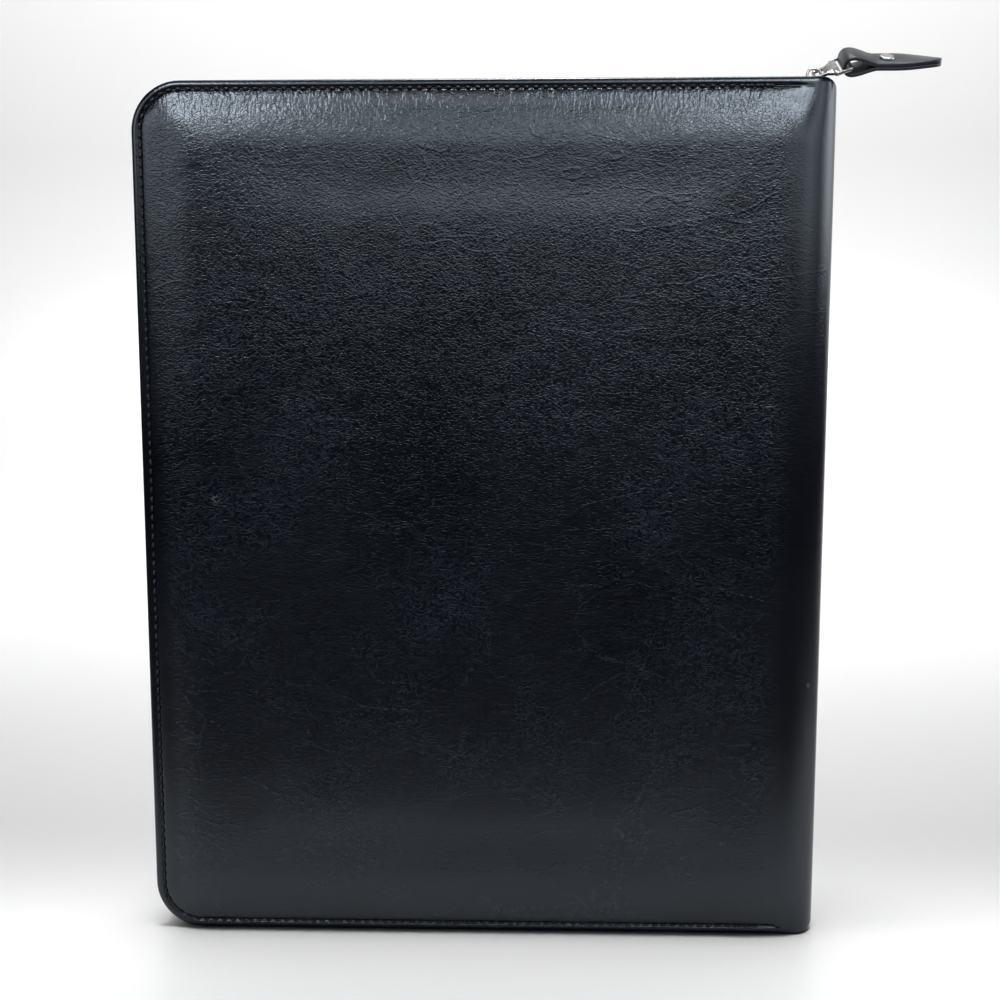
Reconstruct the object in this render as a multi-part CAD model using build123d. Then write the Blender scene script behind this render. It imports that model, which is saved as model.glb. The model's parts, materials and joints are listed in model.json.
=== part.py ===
from build123d import *
import math
import os

# Zippered padfolio, standing closed on its lower edge.
# X runs along the width, with the spine's outer face at zero and the fore edge at minus X.
# Y runs through the thickness, with the back cover at minus Y. Z is the height.

# Closed folio
folio_width = 267.0
folio_height = 335.0
edge_thickness = 22.0
corner_radius = 19.0
spine_radius = 9.0
fold_gap = 0.3

# Cover layers
skin_thickness = 1.2
hem_width = 8.0
lining_thickness = 0.6
flange_width = 4.2
flange_rounding = 0.9
groove_inset = 2.6
groove_width = 1.4
groove_depth = 0.5
groove_end = 15.0
board_spine_gap = 5.0
layer_clearance = 0.1
bend_clearance = 0.05

# Padded crown of each cover
crown_rise = 4.0
crown_shoulder = 22.0
crown_corner = 5.0
crown_spine_gap = 1.0
crown_spine_ramp = 26.0
crown_steps = 5

# Spine layers inside its skin
stiffener_thickness = 0.8
stiffener_inset = 12.0
spine_lining_inset = 4.0

# Zip tape and teeth
zip_inset = 3.0
tape_thickness = 0.6
tape_width = 7.6
tape_reach = 4.5
tooth_length = 3.0
tooth_thickness = 2.4
tooth_root = 2.2
tooth_tip = 1.3
tooth_pitch = 3.4
stop_length = 2.6
stop_overlap = 1.4
stop_slot_clearance = 0.05
tape_spine_gap = 1.0
front_zip_gap = 1.5

# Zip slider
slider_length = 12.0
slider_plate = 1.2
slider_rim = 1.0
slider_corner = 2.4
slider_clearance = 0.3
slider_rim_gap = 0.4
diamond_length = 4.4
diamond_width = 2.0
diamond_shift = 3.2
crown_eye_length = 4.4
crown_eye_height = 4.6
crown_bar = 1.0
crown_width = 1.4
crown_shift = 2.5
slider_spine_clearance = 0.45

# Metal pull loop, which leans towards the back cover
pull_roll = 32.0
pull_rise = 22.0
pull_length = 13.2
pull_thickness = 1.3
pull_bar = 1.2
pull_eye_width = 4.8
pull_eye_length = 4.2
pull_plate_length = 3.0
pull_shoulder = 9.6
pull_window_clearance = 0.4
pull_pivot_height = 2.75

# Leather pull tab and its rivet
tab_width = 12.0
tab_leather = 1.3
tab_length = 34.0
tab_fold_radius = 2.0
tab_fold_length = 10.2
tab_seam = 0.2
tab_tip_radius = 4.5
tab_bar_clearance = 0.3
rivet_distance = 14.0
rivet_head_radius = 2.8
rivet_head_height = 1.0
rivet_chamfer = 0.9
rivet_post_radius = 1.2
rivet_hole_clearance = 0.1

# Writing pad, placed by its margins in the cover, and the sleeve that holds its backing card
pad_foot = 22.0
pad_head_gap = 34.0
pad_fore_gap = 18.0
pad_spine_gap = 33.0
sheets_thickness = 4.6
card_thickness = 0.7
binding_height = 12.0
binding_thickness = 0.35
sleeve_panel = 0.8
sleeve_depth = 1.4
sleeve_border = 4.0
sleeve_mouth_drop = 61.0

# Pen loop beside the pad
loop_width = 12.0
loop_depth = 11.4
loop_wall = 1.2
loop_corner = 5.0
loop_height = 22.0
loop_head_distance = 107.0
loop_gap = 0.4

# Document pocket and card pockets on the front cover
pocket_panel = 0.9
pocket_depth = 0.8
pocket_border = 5.0
pocket_fore_gap = 16.0
pocket_spine_gap = 26.0
pocket_foot = 16.0
pocket_height_fore = 262.0
pocket_height_spine = 205.0
card_pocket_width = 98.0
card_pocket_height = 52.0
card_pocket_pitch = 60.0
card_pocket_foot = 34.0
card_pocket_fore_gap = 28.0
card_pocket_panel = 0.6
card_pocket_depth = 0.5
card_pocket_border = 3.0
card_pocket_notch = 9.0
card_pocket_count = 3

# Levels through the thickness, as distances from the middle plane
half_edge = edge_thickness / 2
skin_inside = half_edge - skin_thickness
hem_inside = skin_inside - skin_thickness
tape_inside = hem_inside - tape_thickness
lining_inside = tape_inside - lining_thickness
bend_offset = half_edge - spine_radius

# Places along the width and height
fore_edge = -folio_width
bend_start = -spine_radius
tape_end = bend_start - tape_spine_gap
zip_height = folio_height - zip_inset
slider_half_width = tape_reach + slider_rim_gap + slider_rim
lining_radius = spine_radius - skin_thickness - stiffener_thickness - lining_thickness
slider_tail = bend_start - slider_spine_clearance + math.sqrt(
    (lining_radius - 2 * bend_clearance) ** 2 - (slider_half_width - bend_offset) ** 2
)
slider_centre = slider_tail - slider_length / 2
front_zip_end = slider_tail - slider_length - front_zip_gap
slider_half_height = tooth_thickness / 2 + slider_clearance
slider_top = zip_height + slider_half_height + slider_plate
pull_pivot = Vector(slider_centre + crown_shift, 0, slider_top + pull_pivot_height)
pad_left = fore_edge + pad_fore_gap
pad_width = folio_width - pad_fore_gap - pad_spine_gap
pad_height = folio_height - pad_foot - pad_head_gap
sleeve_overhang = sleeve_border + layer_clearance
sleeve_height = pad_height + sleeve_overhang - sleeve_mouth_drop
loop_centre = sleeve_overhang + loop_gap + loop_width / 2 - pad_spine_gap
loop_foot = folio_height - loop_head_distance - loop_height / 2

# Directions of the pull, rolled about X towards the back cover
roll = math.radians(pull_roll)
rise = math.radians(pull_rise)
pull_axis = Vector(0, math.cos(roll), math.sin(roll))
pull_direction = Vector(
    math.cos(rise), -math.sin(rise) * math.sin(roll), math.sin(rise) * math.cos(roll)
)
tab_direction = Vector(1, 0, 0)
tab_pivot = pull_pivot + pull_direction * pull_length


def panel(inset, right, least_radius=crown_corner):
    """Cover outline drawn in by inset, with round corners at the fore edge."""
    width = right - fore_edge - inset
    outline = Pos(right - width / 2, folio_height / 2) * Rectangle(width, folio_height - 2 * inset)
    fore_corners = outline.vertices().sort_by(Axis.X)[:2]
    return fillet(fore_corners, max(corner_radius - inset, least_radius))


def u_band(outer_inset, inner_inset, right):
    """Band along the top, fore edge and bottom of a cover, open at the spine."""
    return panel(outer_inset, right) - panel(inner_inset, right + corner_radius)


def slab(face, inner, outer):
    """Plate of the back cover between two distances from the middle plane."""
    return extrude(Plane.XZ.offset(inner) * face, amount=outer - inner)


def to_front(shape):
    """The same piece on the front cover."""
    return mirror(shape, about=Plane.XZ)


def crown_outline(inset, spine_inset):
    """Outline of the padded crown, drawn in by inset on three sides and by its own inset at the spine."""
    left = fore_edge + flange_width + inset
    right = bend_start - crown_spine_gap - spine_inset
    height = folio_height - 2 * (flange_width + inset)
    outline = Pos((left + right) / 2, folio_height / 2) * Rectangle(right - left, height)
    outline = fillet(outline.vertices().sort_by(Axis.X)[2:], crown_corner)
    fore_radius = max(corner_radius - flange_width - inset, crown_corner)
    return fillet(outline.vertices().sort_by(Axis.X)[:2], fore_radius)


def crown(base, base_inset, height):
    """Crown over a base level: a quarter sine wave from the seam, and an S-shaped ramp from the spine."""
    sections = []
    for step in range(crown_steps + 1):
        share = step / crown_steps
        level = math.sin(math.radians(90 * share))
        ramp_share = math.acos(1 - 2 * level) / math.pi
        inset = base_inset + (crown_shoulder - base_inset) * share
        spine_inset = base_inset + (crown_spine_ramp - base_inset) * ramp_share
        section = crown_outline(inset, spine_inset)
        sections.append(Plane.XZ.offset(base + height * level) * section)
    return loft(sections, ruled=True)


def bend_sector(outer, inner, start, stop):
    """Flat section of a bent layer, between two radii and two angles in degrees."""
    outer_arc = CenterArc((0, 0), outer, start, stop - start)
    inner_arc = CenterArc((0, 0), inner, start, stop - start)
    sides = [Line(outer_arc @ 0, inner_arc @ 0), Line(outer_arc @ 1, inner_arc @ 1)]
    return make_face([outer_arc, inner_arc, *sides])


def cover_skin():
    """Back cover skin: flange with its turned hem, padded crown and half of the spine bend."""
    flange = slab(panel(0, bend_start), skin_inside, half_edge)
    flange += slab(u_band(0, hem_width, bend_start), hem_inside, skin_inside)
    rim = flange.edges().filter_by(Plane.XZ).group_by(Axis.Y)[0]
    rim = [edge for edge in rim if edge.center().X < bend_start - fold_gap]
    flange = fillet(rim, flange_rounding)
    groove = u_band(groove_inset, groove_inset + groove_width, bend_start - groove_end)
    flange -= slab(groove, half_edge - groove_depth, half_edge)
    half_gap = math.degrees(fold_gap / 2 / spine_radius)
    bend = bend_sector(spine_radius, spine_radius - skin_thickness, -90, -45 - half_gap)
    bend = extrude(Pos(bend_start, -bend_offset) * bend, amount=folio_height)
    skin = flange + crown(half_edge, 0, crown_rise) + bend
    return skin - crown(skin_inside, skin_thickness, crown_rise)


def cover_foam():
    """Foam that fills the crown under the skin."""
    return crown(skin_inside, skin_thickness + layer_clearance, crown_rise - layer_clearance)


def cover_board():
    """Stiff board under the foam, inside the hem and the zip tape."""
    outline = panel(hem_width + layer_clearance, bend_start - board_spine_gap)
    return slab(outline, tape_inside, skin_inside)


def cover_lining():
    """Lining sheet that covers the board and the sewn edge of the tape."""
    inset = zip_inset + tape_thickness / 2 + layer_clearance
    return slab(panel(inset, bend_start), lining_inside, tape_inside)


def spine_strip(outer, inner, end_inset, clearance):
    """One layer of the spine, bent round both edges, from split line to split line."""
    half_gap = math.degrees(fold_gap / 2 / spine_radius)
    outer -= clearance
    back_bend = Pos(bend_start, -bend_offset) * bend_sector(outer, inner, -45 + half_gap, 0)
    front_bend = Pos(bend_start, bend_offset) * bend_sector(outer, inner, 0, 45 - half_gap)
    middle = Pos(bend_start + (outer + inner) / 2, 0) * Rectangle(outer - inner, 2 * bend_offset)
    section = back_bend + middle + front_bend
    return extrude(Pos(0, 0, end_inset) * section, amount=folio_height - 2 * end_inset)


def zip_tape(end_top):
    """Zip tape: a strip sewn under the flange, and the wall that carries the teeth."""
    wall = zip_inset - tape_thickness / 2
    upper_end = Pos(end_top + corner_radius, folio_height) * Rectangle(2 * corner_radius, 4 * tape_width)
    sewn = u_band(wall, tape_width, tape_end) - upper_end
    upright = u_band(wall, wall + tape_thickness, tape_end) - upper_end
    return slab(sewn, tape_inside, hem_inside) + slab(upright, tape_reach, hem_inside)


def zip_path(end_top, end_bottom):
    """Line that the teeth follow, from the top end round the fore edge to the bottom end."""
    left = fore_edge + zip_inset
    corners = [(end_top, zip_height), (left, zip_height), (left, zip_inset), (end_bottom, zip_inset)]
    return Plane.XZ * FilletPolyline(*corners, radius=corner_radius - zip_inset)


def zip_teeth(end_top, first_step):
    """Row of separate teeth seated on the edge of the back tape."""
    path = zip_path(end_top, tape_end - stop_length - tooth_root)
    taper = (tooth_root - tooth_tip) / 2
    half = tooth_root / 2
    corners = [(-half, 0), (half, 0), (half - taper, tooth_length), (taper - half, tooth_length)]
    profile = make_face(Polyline(*corners, close=True))
    tooth = extrude(profile, amount=tooth_thickness / 2, both=True)
    count = int((path.length - first_step) / tooth_pitch)
    teeth = []
    for index in range(count + 1):
        distance = first_step + index * tooth_pitch
        point = path.position_at(distance, PositionMode.LENGTH)
        tangent = path.tangent_at(distance, PositionMode.LENGTH)
        seat = Vector(point.X, -tape_reach, point.Z)
        teeth.append(Plane(seat, x_dir=tangent, z_dir=tangent.cross(Vector(0, 1, 0))) * tooth)
    return teeth


def zip_stop():
    """Metal stop clamped over the tape edge at the bottom end of the zip."""
    depth = tooth_length + stop_overlap
    middle = Pos(tape_end - stop_length / 2, -tape_reach - stop_overlap + depth / 2, zip_inset)
    block = middle * Box(stop_length, depth, tooth_thickness)
    slot = tape_thickness + 2 * stop_slot_clearance
    tape = Pos(tape_end, -tape_reach - stop_overlap / 2, zip_inset)
    return block - tape * Box(3 * stop_length, stop_overlap, slot)


def zip_slider():
    """Slider: two wing plates with rims, joined by the diamond, and the crown that holds the pull."""
    outline = Rectangle(slider_length, 2 * slider_half_width)
    outline = fillet(outline.vertices(), slider_corner)
    side = Rectangle(slider_length, slider_rim)
    sides = Pos(0, slider_half_width - slider_rim / 2) * side
    sides += Pos(0, slider_rim / 2 - slider_half_width) * side
    rim_height = slider_half_height - tape_thickness / 2 - slider_clearance
    wing = extrude(Pos(0, 0, slider_half_height) * outline, amount=slider_plate)
    wing += extrude(Pos(0, 0, slider_half_height) * (outline & sides), amount=-rim_height)
    half_length = diamond_length / 2
    half_width = diamond_width / 2
    corners = [(-half_length, 0), (0, half_width), (half_length, 0), (0, -half_width)]
    diamond = Pos(-diamond_shift, 0) * make_face(Polyline(*corners, close=True))
    body = wing + mirror(wing, about=Plane.XY)
    body += extrude(diamond, amount=slider_half_height, both=True)
    plate_top = slider_half_height + slider_plate
    eye = Rectangle(crown_eye_length, 2 * crown_eye_height)
    eye = fillet(eye.vertices(), crown_bar)
    arch = Rectangle(crown_eye_length + 2 * crown_bar, 2 * (crown_eye_height + crown_bar))
    arch = fillet(arch.vertices(), 2 * crown_bar) - eye
    upper_half = Pos(0, crown_eye_height + crown_bar) * Rectangle(
        crown_eye_length + 4 * crown_bar, 2 * (crown_eye_height + crown_bar)
    )
    arch = extrude(Plane.XZ * (arch & upper_half), amount=crown_width / 2, both=True)
    body += Pos(crown_shift, 0, plate_top) * arch
    return Pos(slider_centre, 0, zip_height) * body


def pull_loop():
    """Cast pull: a small eye round the slider's crown, a flat plate and a window for the tab."""
    half_bar = pull_bar / 2
    eye_half = pull_eye_width / 2 + pull_bar
    plate_start = half_bar + pull_eye_length
    plate_end = plate_start + pull_plate_length
    end_half = tab_width / 2 + pull_window_clearance + pull_bar
    shoulder = pull_shoulder / 2
    half_outline = [
        (eye_half, -half_bar),
        (eye_half, plate_start - pull_bar),
        (shoulder, plate_start),
        (end_half, plate_end),
        (end_half, pull_length + half_bar),
    ]
    other_half = [(-across, along) for across, along in reversed(half_outline)]
    radii = [half_bar, half_bar, half_bar, pull_bar, pull_bar]
    outline = make_face(FilletPolyline(*half_outline, *other_half, radius=radii + radii[::-1], close=True))
    eye = Pos(0, half_bar + pull_eye_length / 2) * Rectangle(pull_eye_width, pull_eye_length)
    window_length = pull_length - half_bar - plate_end
    window_width = tab_width + 2 * pull_window_clearance
    window = Pos(0, plate_end + window_length / 2) * Rectangle(window_width, window_length)
    face = outline - fillet(eye.vertices(), half_bar) - fillet(window.vertices(), half_bar)
    plate = extrude(face, amount=pull_thickness / 2, both=True)
    seat = Plane(pull_pivot, x_dir=pull_axis * -1, z_dir=pull_axis.cross(pull_direction) * -1)
    return seat * plate


def tab_plane():
    """Plane of the tab's side view, with its bar at zero and its length along local X."""
    return Plane(tab_pivot, x_dir=tab_direction, z_dir=pull_axis * -1)


def tab_fold_centre():
    """Distance from the bar to the middle of the fold, which hangs close round the bar."""
    bar_reach = math.hypot(pull_bar, pull_thickness) / 2
    return tab_fold_radius - bar_reach - tab_bar_clearance


def pull_tab():
    """Strip of leather folded round the bar, with both layers brought together for the rivet."""
    centre = tab_fold_centre()
    tangent_angle = math.acos(tab_fold_radius / tab_fold_length)
    across = tab_fold_radius * math.sin(tangent_angle)
    along = centre + tab_fold_radius * math.cos(tangent_angle)
    drop = Pos(centre, 0) * Circle(tab_fold_radius)
    drop += make_face(Polyline((along, across), (along, -across), (centre + tab_fold_length, 0), close=True))
    seam_length = tab_length - centre
    space = drop + Pos(centre + seam_length, 0) * Rectangle(2 * seam_length, tab_seam)
    strip = offset(space, tab_leather) - space
    reach = 2 * (tab_leather + tab_fold_radius)
    strip -= Pos(tab_length + tab_length / 2, 0) * Rectangle(tab_length, 2 * reach)
    strip = extrude(tab_plane() * strip, amount=tab_width / 2, both=True)
    plan = Pos(tab_length / 2, 0) * Rectangle(tab_length, tab_width)
    tip = fillet(plan.vertices().sort_by(Axis.X)[2:], tab_tip_radius)
    tip += Pos(-reach, 0) * Rectangle(2 * reach, tab_width)
    lying = Plane(tab_pivot, x_dir=tab_direction, z_dir=tab_direction.cross(pull_axis))
    strip = strip & extrude(lying * tip, amount=reach, both=True)
    hole = Circle(rivet_post_radius + rivet_hole_clearance)
    return strip - extrude(lying * (Pos(rivet_distance, 0) * hole), amount=reach, both=True)


def rivet_plane():
    """Plane of the tab at the rivet, with its normal out of the tab's upper face."""
    origin = tab_pivot + tab_direction * rivet_distance
    return Plane(origin, x_dir=tab_direction, z_dir=tab_direction.cross(pull_axis))


def rivet_head(height):
    """Low head of the rivet with a chamfered rim, seated on the leather."""
    face_level = tab_leather + tab_seam / 2
    crest = face_level + height
    corners = [(0, face_level), (rivet_head_radius, face_level), (rivet_head_radius, crest - height / 2)]
    corners += [(rivet_head_radius - rivet_chamfer, crest), (0, crest)]
    return revolve(Plane.XZ * make_face(Polyline(*corners, close=True)), axis=Axis.Z)


def rivet_cap():
    """Cap on the upper face of the tab, with the post through both layers."""
    face_level = tab_leather + tab_seam / 2
    post = Cylinder(rivet_post_radius, 2 * face_level)
    return rivet_plane() * (rivet_head(rivet_head_height) + post)


def rivet_back():
    """Flatter cap pressed on the end of the post."""
    return rivet_plane() * mirror(rivet_head(rivet_head_height / 2), about=Plane.XY)


def sewn_panel(outline, opening, level, depth, thickness):
    """Flat panel that stands off a surface on a sewn border, open where the border is cut away."""
    border = slab(outline - opening, level - depth, level)
    return border + slab(outline, level - depth - thickness, level - depth)


def pad_face(bottom, height):
    """Rectangle of the pad's width at a height."""
    return Pos(pad_left + pad_width / 2, bottom + height / 2) * Rectangle(pad_width, height)


def pad_sleeve():
    """Sleeve on the back lining, open at the top, that the pad's backing card slides into."""
    width = pad_width + 2 * sleeve_overhang
    bottom = pad_foot - sleeve_overhang
    middle = pad_left + pad_width / 2
    outline = Pos(middle, bottom + sleeve_height / 2) * Rectangle(width, sleeve_height)
    opening = Pos(middle, bottom + sleeve_border + sleeve_height / 2)
    opening *= Rectangle(width - 2 * sleeve_border, sleeve_height)
    return sewn_panel(outline, opening, lining_inside, sleeve_depth, sleeve_panel)


card_outside = lining_inside - layer_clearance - binding_thickness
card_inside = card_outside - card_thickness
sheets_outside = lining_inside - sleeve_depth - sleeve_panel - layer_clearance
sheets_inside = sheets_outside - sheets_thickness


def pad_binding():
    """Binding over the head of the pad, which joins its sheets to the backing card."""
    bottom = pad_foot + pad_height - binding_height
    wrap = slab(pad_face(bottom, binding_height + binding_thickness),
                sheets_inside - binding_thickness, card_outside + binding_thickness)
    wrap -= slab(pad_face(bottom - binding_height, 2 * binding_height), card_inside, card_outside)
    return wrap - slab(pad_face(bottom - binding_height, 2 * binding_height), sheets_inside, sheets_outside)


def pen_loop():
    """Elastic loop sewn to the back lining, open along the height for a pen."""
    ring = fillet(Rectangle(loop_width, loop_depth).vertices(), loop_corner)
    hole = Rectangle(loop_width - 2 * loop_wall, loop_depth - 2 * loop_wall)
    ring -= fillet(hole.vertices(), loop_corner - loop_wall)
    place = Pos(loop_centre, loop_depth / 2 - lining_inside, loop_foot)
    return extrude(place * ring, amount=loop_height)


def document_pocket():
    """Large pocket with a slanted mouth, drawn as if on the back cover."""
    left = fore_edge + pocket_fore_gap
    right = -pocket_spine_gap
    top_left = pocket_foot + pocket_height_fore
    top_right = pocket_foot + pocket_height_spine
    corners = [(left, pocket_foot), (right, pocket_foot), (right, top_right), (left, top_left)]
    outline = make_face(Polyline(*corners, close=True))
    width = right - left - 2 * pocket_border
    opening = Pos((left + right) / 2, pocket_foot + pocket_border + pocket_height_fore / 2)
    opening *= Rectangle(width, pocket_height_fore)
    return sewn_panel(outline, opening, lining_inside, pocket_depth, pocket_panel)


def card_pocket(index):
    """One of the card pockets, stacked above each other on the document pocket."""
    left = fore_edge + card_pocket_fore_gap
    bottom = card_pocket_foot + index * card_pocket_pitch
    outline = Pos(left + card_pocket_width / 2, bottom + card_pocket_height / 2)
    outline *= Rectangle(card_pocket_width, card_pocket_height)
    opening = Pos(left + card_pocket_width / 2, bottom + card_pocket_border + card_pocket_height / 2)
    opening *= Rectangle(card_pocket_width - 2 * card_pocket_border, card_pocket_height)
    outline -= Pos(left + card_pocket_width / 2, bottom + card_pocket_height) * Circle(card_pocket_notch)
    level = lining_inside - pocket_depth - pocket_panel
    return sewn_panel(outline, opening, level, card_pocket_depth, card_pocket_panel)


def build():
    """All pieces of the folio by node name."""
    skin = cover_skin()
    foam = cover_foam()
    board = cover_board()
    lining = cover_lining()
    stop = zip_stop()
    front_teeth = [to_front(tooth) for tooth in zip_teeth(front_zip_end, tooth_root + tooth_pitch / 2)]
    skin_bore = spine_radius - skin_thickness
    stiffener_bore = skin_bore - stiffener_thickness
    nodes = {
        "back_cover_skin": skin,
        "back_cover_foam": foam,
        "back_cover_board": board,
        "back_cover_lining": lining,
        "back_zip_tape": zip_tape(tape_end),
        "back_zip_teeth": Compound(children=zip_teeth(tape_end, tooth_root)),
        "back_zip_stop": stop,
        "pad_sleeve": pad_sleeve(),
        "pad_backing_card": slab(pad_face(pad_foot, pad_height), card_inside, card_outside),
        "pad_sheets": slab(pad_face(pad_foot, pad_height), sheets_inside, sheets_outside),
        "pad_binding": pad_binding(),
        "pen_loop": pen_loop(),
        "spine_skin": spine_strip(spine_radius, skin_bore, 0, 0),
        "spine_stiffener": spine_strip(skin_bore, stiffener_bore, stiffener_inset, bend_clearance),
        "spine_lining": spine_strip(stiffener_bore, lining_radius, spine_lining_inset, bend_clearance),
        "front_cover_skin": to_front(skin),
        "front_cover_foam": to_front(foam),
        "front_cover_board": to_front(board),
        "front_cover_lining": to_front(lining),
        "front_zip_tape": to_front(zip_tape(front_zip_end)),
        "front_zip_teeth": Compound(children=front_teeth),
        "front_zip_stop": to_front(stop),
        "document_pocket": to_front(document_pocket()),
        "zip_slider": zip_slider(),
        "pull_loop": pull_loop(),
        "pull_tab": pull_tab(),
        "pull_rivet_cap": rivet_cap(),
        "pull_rivet_back": rivet_back(),
    }
    for index in range(card_pocket_count):
        nodes[f"card_pocket_{index + 1}"] = to_front(card_pocket(index))
    return nodes


os.makedirs("parts", exist_ok=True)
for node, shape in build().items():
    export_step(shape, f"parts/{node}.step")
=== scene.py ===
"""Zippered padfolio: its leather, cloth, metal and paper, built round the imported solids."""
import json
import logging
import math
from dataclasses import dataclass, field
from enum import Enum
from typing import Any, Optional, Union

import bmesh
import bpy
import numpy as np
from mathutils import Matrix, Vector


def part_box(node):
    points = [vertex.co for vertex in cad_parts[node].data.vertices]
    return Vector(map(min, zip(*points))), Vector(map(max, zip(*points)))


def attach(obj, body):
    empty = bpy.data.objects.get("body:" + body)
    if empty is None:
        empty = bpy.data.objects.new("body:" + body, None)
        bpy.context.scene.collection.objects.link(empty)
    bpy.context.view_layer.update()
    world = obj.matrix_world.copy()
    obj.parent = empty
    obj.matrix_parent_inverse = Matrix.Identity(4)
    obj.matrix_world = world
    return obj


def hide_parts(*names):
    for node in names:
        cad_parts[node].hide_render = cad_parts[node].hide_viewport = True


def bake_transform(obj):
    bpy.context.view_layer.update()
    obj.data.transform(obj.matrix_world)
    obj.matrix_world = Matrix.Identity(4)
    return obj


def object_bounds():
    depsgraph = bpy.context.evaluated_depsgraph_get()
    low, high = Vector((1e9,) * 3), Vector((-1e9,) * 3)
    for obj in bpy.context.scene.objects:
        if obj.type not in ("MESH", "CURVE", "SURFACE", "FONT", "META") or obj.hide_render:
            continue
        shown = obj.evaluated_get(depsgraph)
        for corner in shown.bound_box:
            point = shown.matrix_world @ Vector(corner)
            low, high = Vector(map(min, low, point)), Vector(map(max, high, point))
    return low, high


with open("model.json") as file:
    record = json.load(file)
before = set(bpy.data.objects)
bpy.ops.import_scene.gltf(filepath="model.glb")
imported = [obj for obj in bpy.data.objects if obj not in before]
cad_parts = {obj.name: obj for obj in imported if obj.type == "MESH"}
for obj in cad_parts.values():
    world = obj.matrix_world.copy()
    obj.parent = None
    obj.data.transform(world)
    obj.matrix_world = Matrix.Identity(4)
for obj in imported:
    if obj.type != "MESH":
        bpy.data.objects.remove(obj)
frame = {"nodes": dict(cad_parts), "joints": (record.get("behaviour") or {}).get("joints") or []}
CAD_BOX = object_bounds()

MM = 0.001
LOG = logging.getLogger("padfolio")
ACROSS = np.array([0.0, 1.0, 0.0])
UP = np.array([0.0, 0.0, 1.0])
Colour = tuple[float, float, float]


# Meshes


def grid_quads(rows: int, columns: int, wrap_rows: bool, wrap_columns: bool) -> np.ndarray:
    """Numbers the corners of a grid's quads.

    Args:
        rows: Rows of points.
        columns: Points in a row.
        wrap_rows: Whether the last row joins the first.
        wrap_columns: Whether the last point of a row joins its first.

    Returns:
        One line of four point numbers per quad.
    """
    row, column = np.meshgrid(np.arange(rows if wrap_rows else rows - 1),
                              np.arange(columns if wrap_columns else columns - 1), indexing="ij")
    next_row = (row + 1) % rows
    next_column = (column + 1) % columns
    corners = ((row, column), (row, next_column), (next_row, next_column), (next_row, column))
    return np.stack([r * columns + c for r, c in corners], axis=-1).reshape(-1, 4)


@dataclass
class Shell:
    """Mesh of one piece, gathered from surfaces that are grids of points."""

    name: str
    points: list[np.ndarray] = field(default_factory=list)
    quads: list[np.ndarray] = field(default_factory=list)
    marks: list[np.ndarray] = field(default_factory=list)
    size: int = 0

    def add(self, surface: np.ndarray, wrap_rows: bool = False, wrap_columns: bool = False,
            along: Any = 0.0, across: Any = 0.0) -> "Shell":
        """Adds one surface.

        Args:
            surface: Points in rows and columns.
            wrap_rows: Whether the last row joins the first.
            wrap_columns: Whether each row is a closed loop.
            along: Mark that a finish may read, such as a length along the piece.
            across: Second mark.

        Returns:
            The shell itself.
        """
        rows, columns = surface.shape[:2]
        mark = np.empty((rows, columns, 2))
        mark[..., 0] = along
        mark[..., 1] = across
        self.points.append(surface.reshape(-1, 3))
        self.marks.append(mark.reshape(-1, 2))
        self.quads.append(grid_quads(rows, columns, wrap_rows, wrap_columns) + self.size)
        self.size += rows * columns
        return self

    def repeat(self, surface: np.ndarray, origins: np.ndarray, axes: np.ndarray,
               along: Any = 0.0) -> "Shell":
        """Adds the same small closed surface at many places.

        Args:
            surface: Points in rows and closed columns, in the surface's own axes.
            origins: One place per copy.
            axes: Three directions per copy, for the surface's own axes.
            along: Mark of the surface's rows.

        Returns:
            The shell itself.
        """
        rows, columns = surface.shape[:2]
        copies = origins[:, None] + surface.reshape(1, -1, 3) @ axes
        quads = grid_quads(rows, columns, False, True)
        starts = self.size + rows * columns * np.arange(len(origins))
        mark = np.zeros((len(origins), rows, columns, 2))
        mark[..., 0] = along
        self.points.append(copies.reshape(-1, 3))
        self.marks.append(mark.reshape(-1, 2))
        self.quads.append((quads[None] + starts[:, None, None]).reshape(-1, 4))
        self.size += copies.shape[0] * copies.shape[1]
        return self

    def build(self, weld: bool = True, crease: Optional[float] = None) -> bpy.types.Object:
        """Makes the object.

        Args:
            weld: Whether equal points are merged and the faces turned outwards.
            crease: Angle in degrees past which an edge stays sharp, or none.

        Returns:
            The object, at the origin, with its place in its mesh.
        """
        mesh = bpy.data.meshes.new(self.name)
        mesh.from_pydata(np.concatenate(self.points).tolist(), [], np.concatenate(self.quads).tolist())
        marks = np.concatenate(self.marks)
        for index, label in enumerate(("along", "across")):
            layer = mesh.attributes.new(label, "FLOAT", "POINT")
            layer.data.foreach_set("value", np.ascontiguousarray(marks[:, index], dtype=np.float32))
        if weld:
            work = bmesh.new()
            work.from_mesh(mesh)
            bmesh.ops.remove_doubles(work, verts=work.verts, dist=1e-6)
            bmesh.ops.recalc_face_normals(work, faces=work.faces)
            work.to_mesh(mesh)
            work.free()
        mesh.shade_smooth()
        if crease is not None:
            mesh.set_sharp_from_angle(angle=math.radians(crease))
        piece = bpy.data.objects.new(self.name, mesh)
        bpy.context.scene.collection.objects.link(piece)
        return piece


@dataclass(frozen=True)
class Axes:
    """Place and directions of a piece's own axes."""

    origin: np.ndarray
    first: np.ndarray
    second: np.ndarray
    third: np.ndarray

    def place(self, points: np.ndarray) -> np.ndarray:
        """Origin plus each point's three parts along the three directions."""
        return self.origin + points @ np.stack([self.first, self.second, self.third])


def unit(vectors: np.ndarray) -> np.ndarray:
    """The same directions with length one."""
    return vectors / np.linalg.norm(vectors, axis=-1, keepdims=True)


def lengths_along(points: np.ndarray) -> np.ndarray:
    """Distance of each point from the first, measured along the line that they form."""
    return np.concatenate([[0.0], np.cumsum(np.linalg.norm(np.diff(points, axis=0), axis=-1))])


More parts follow.
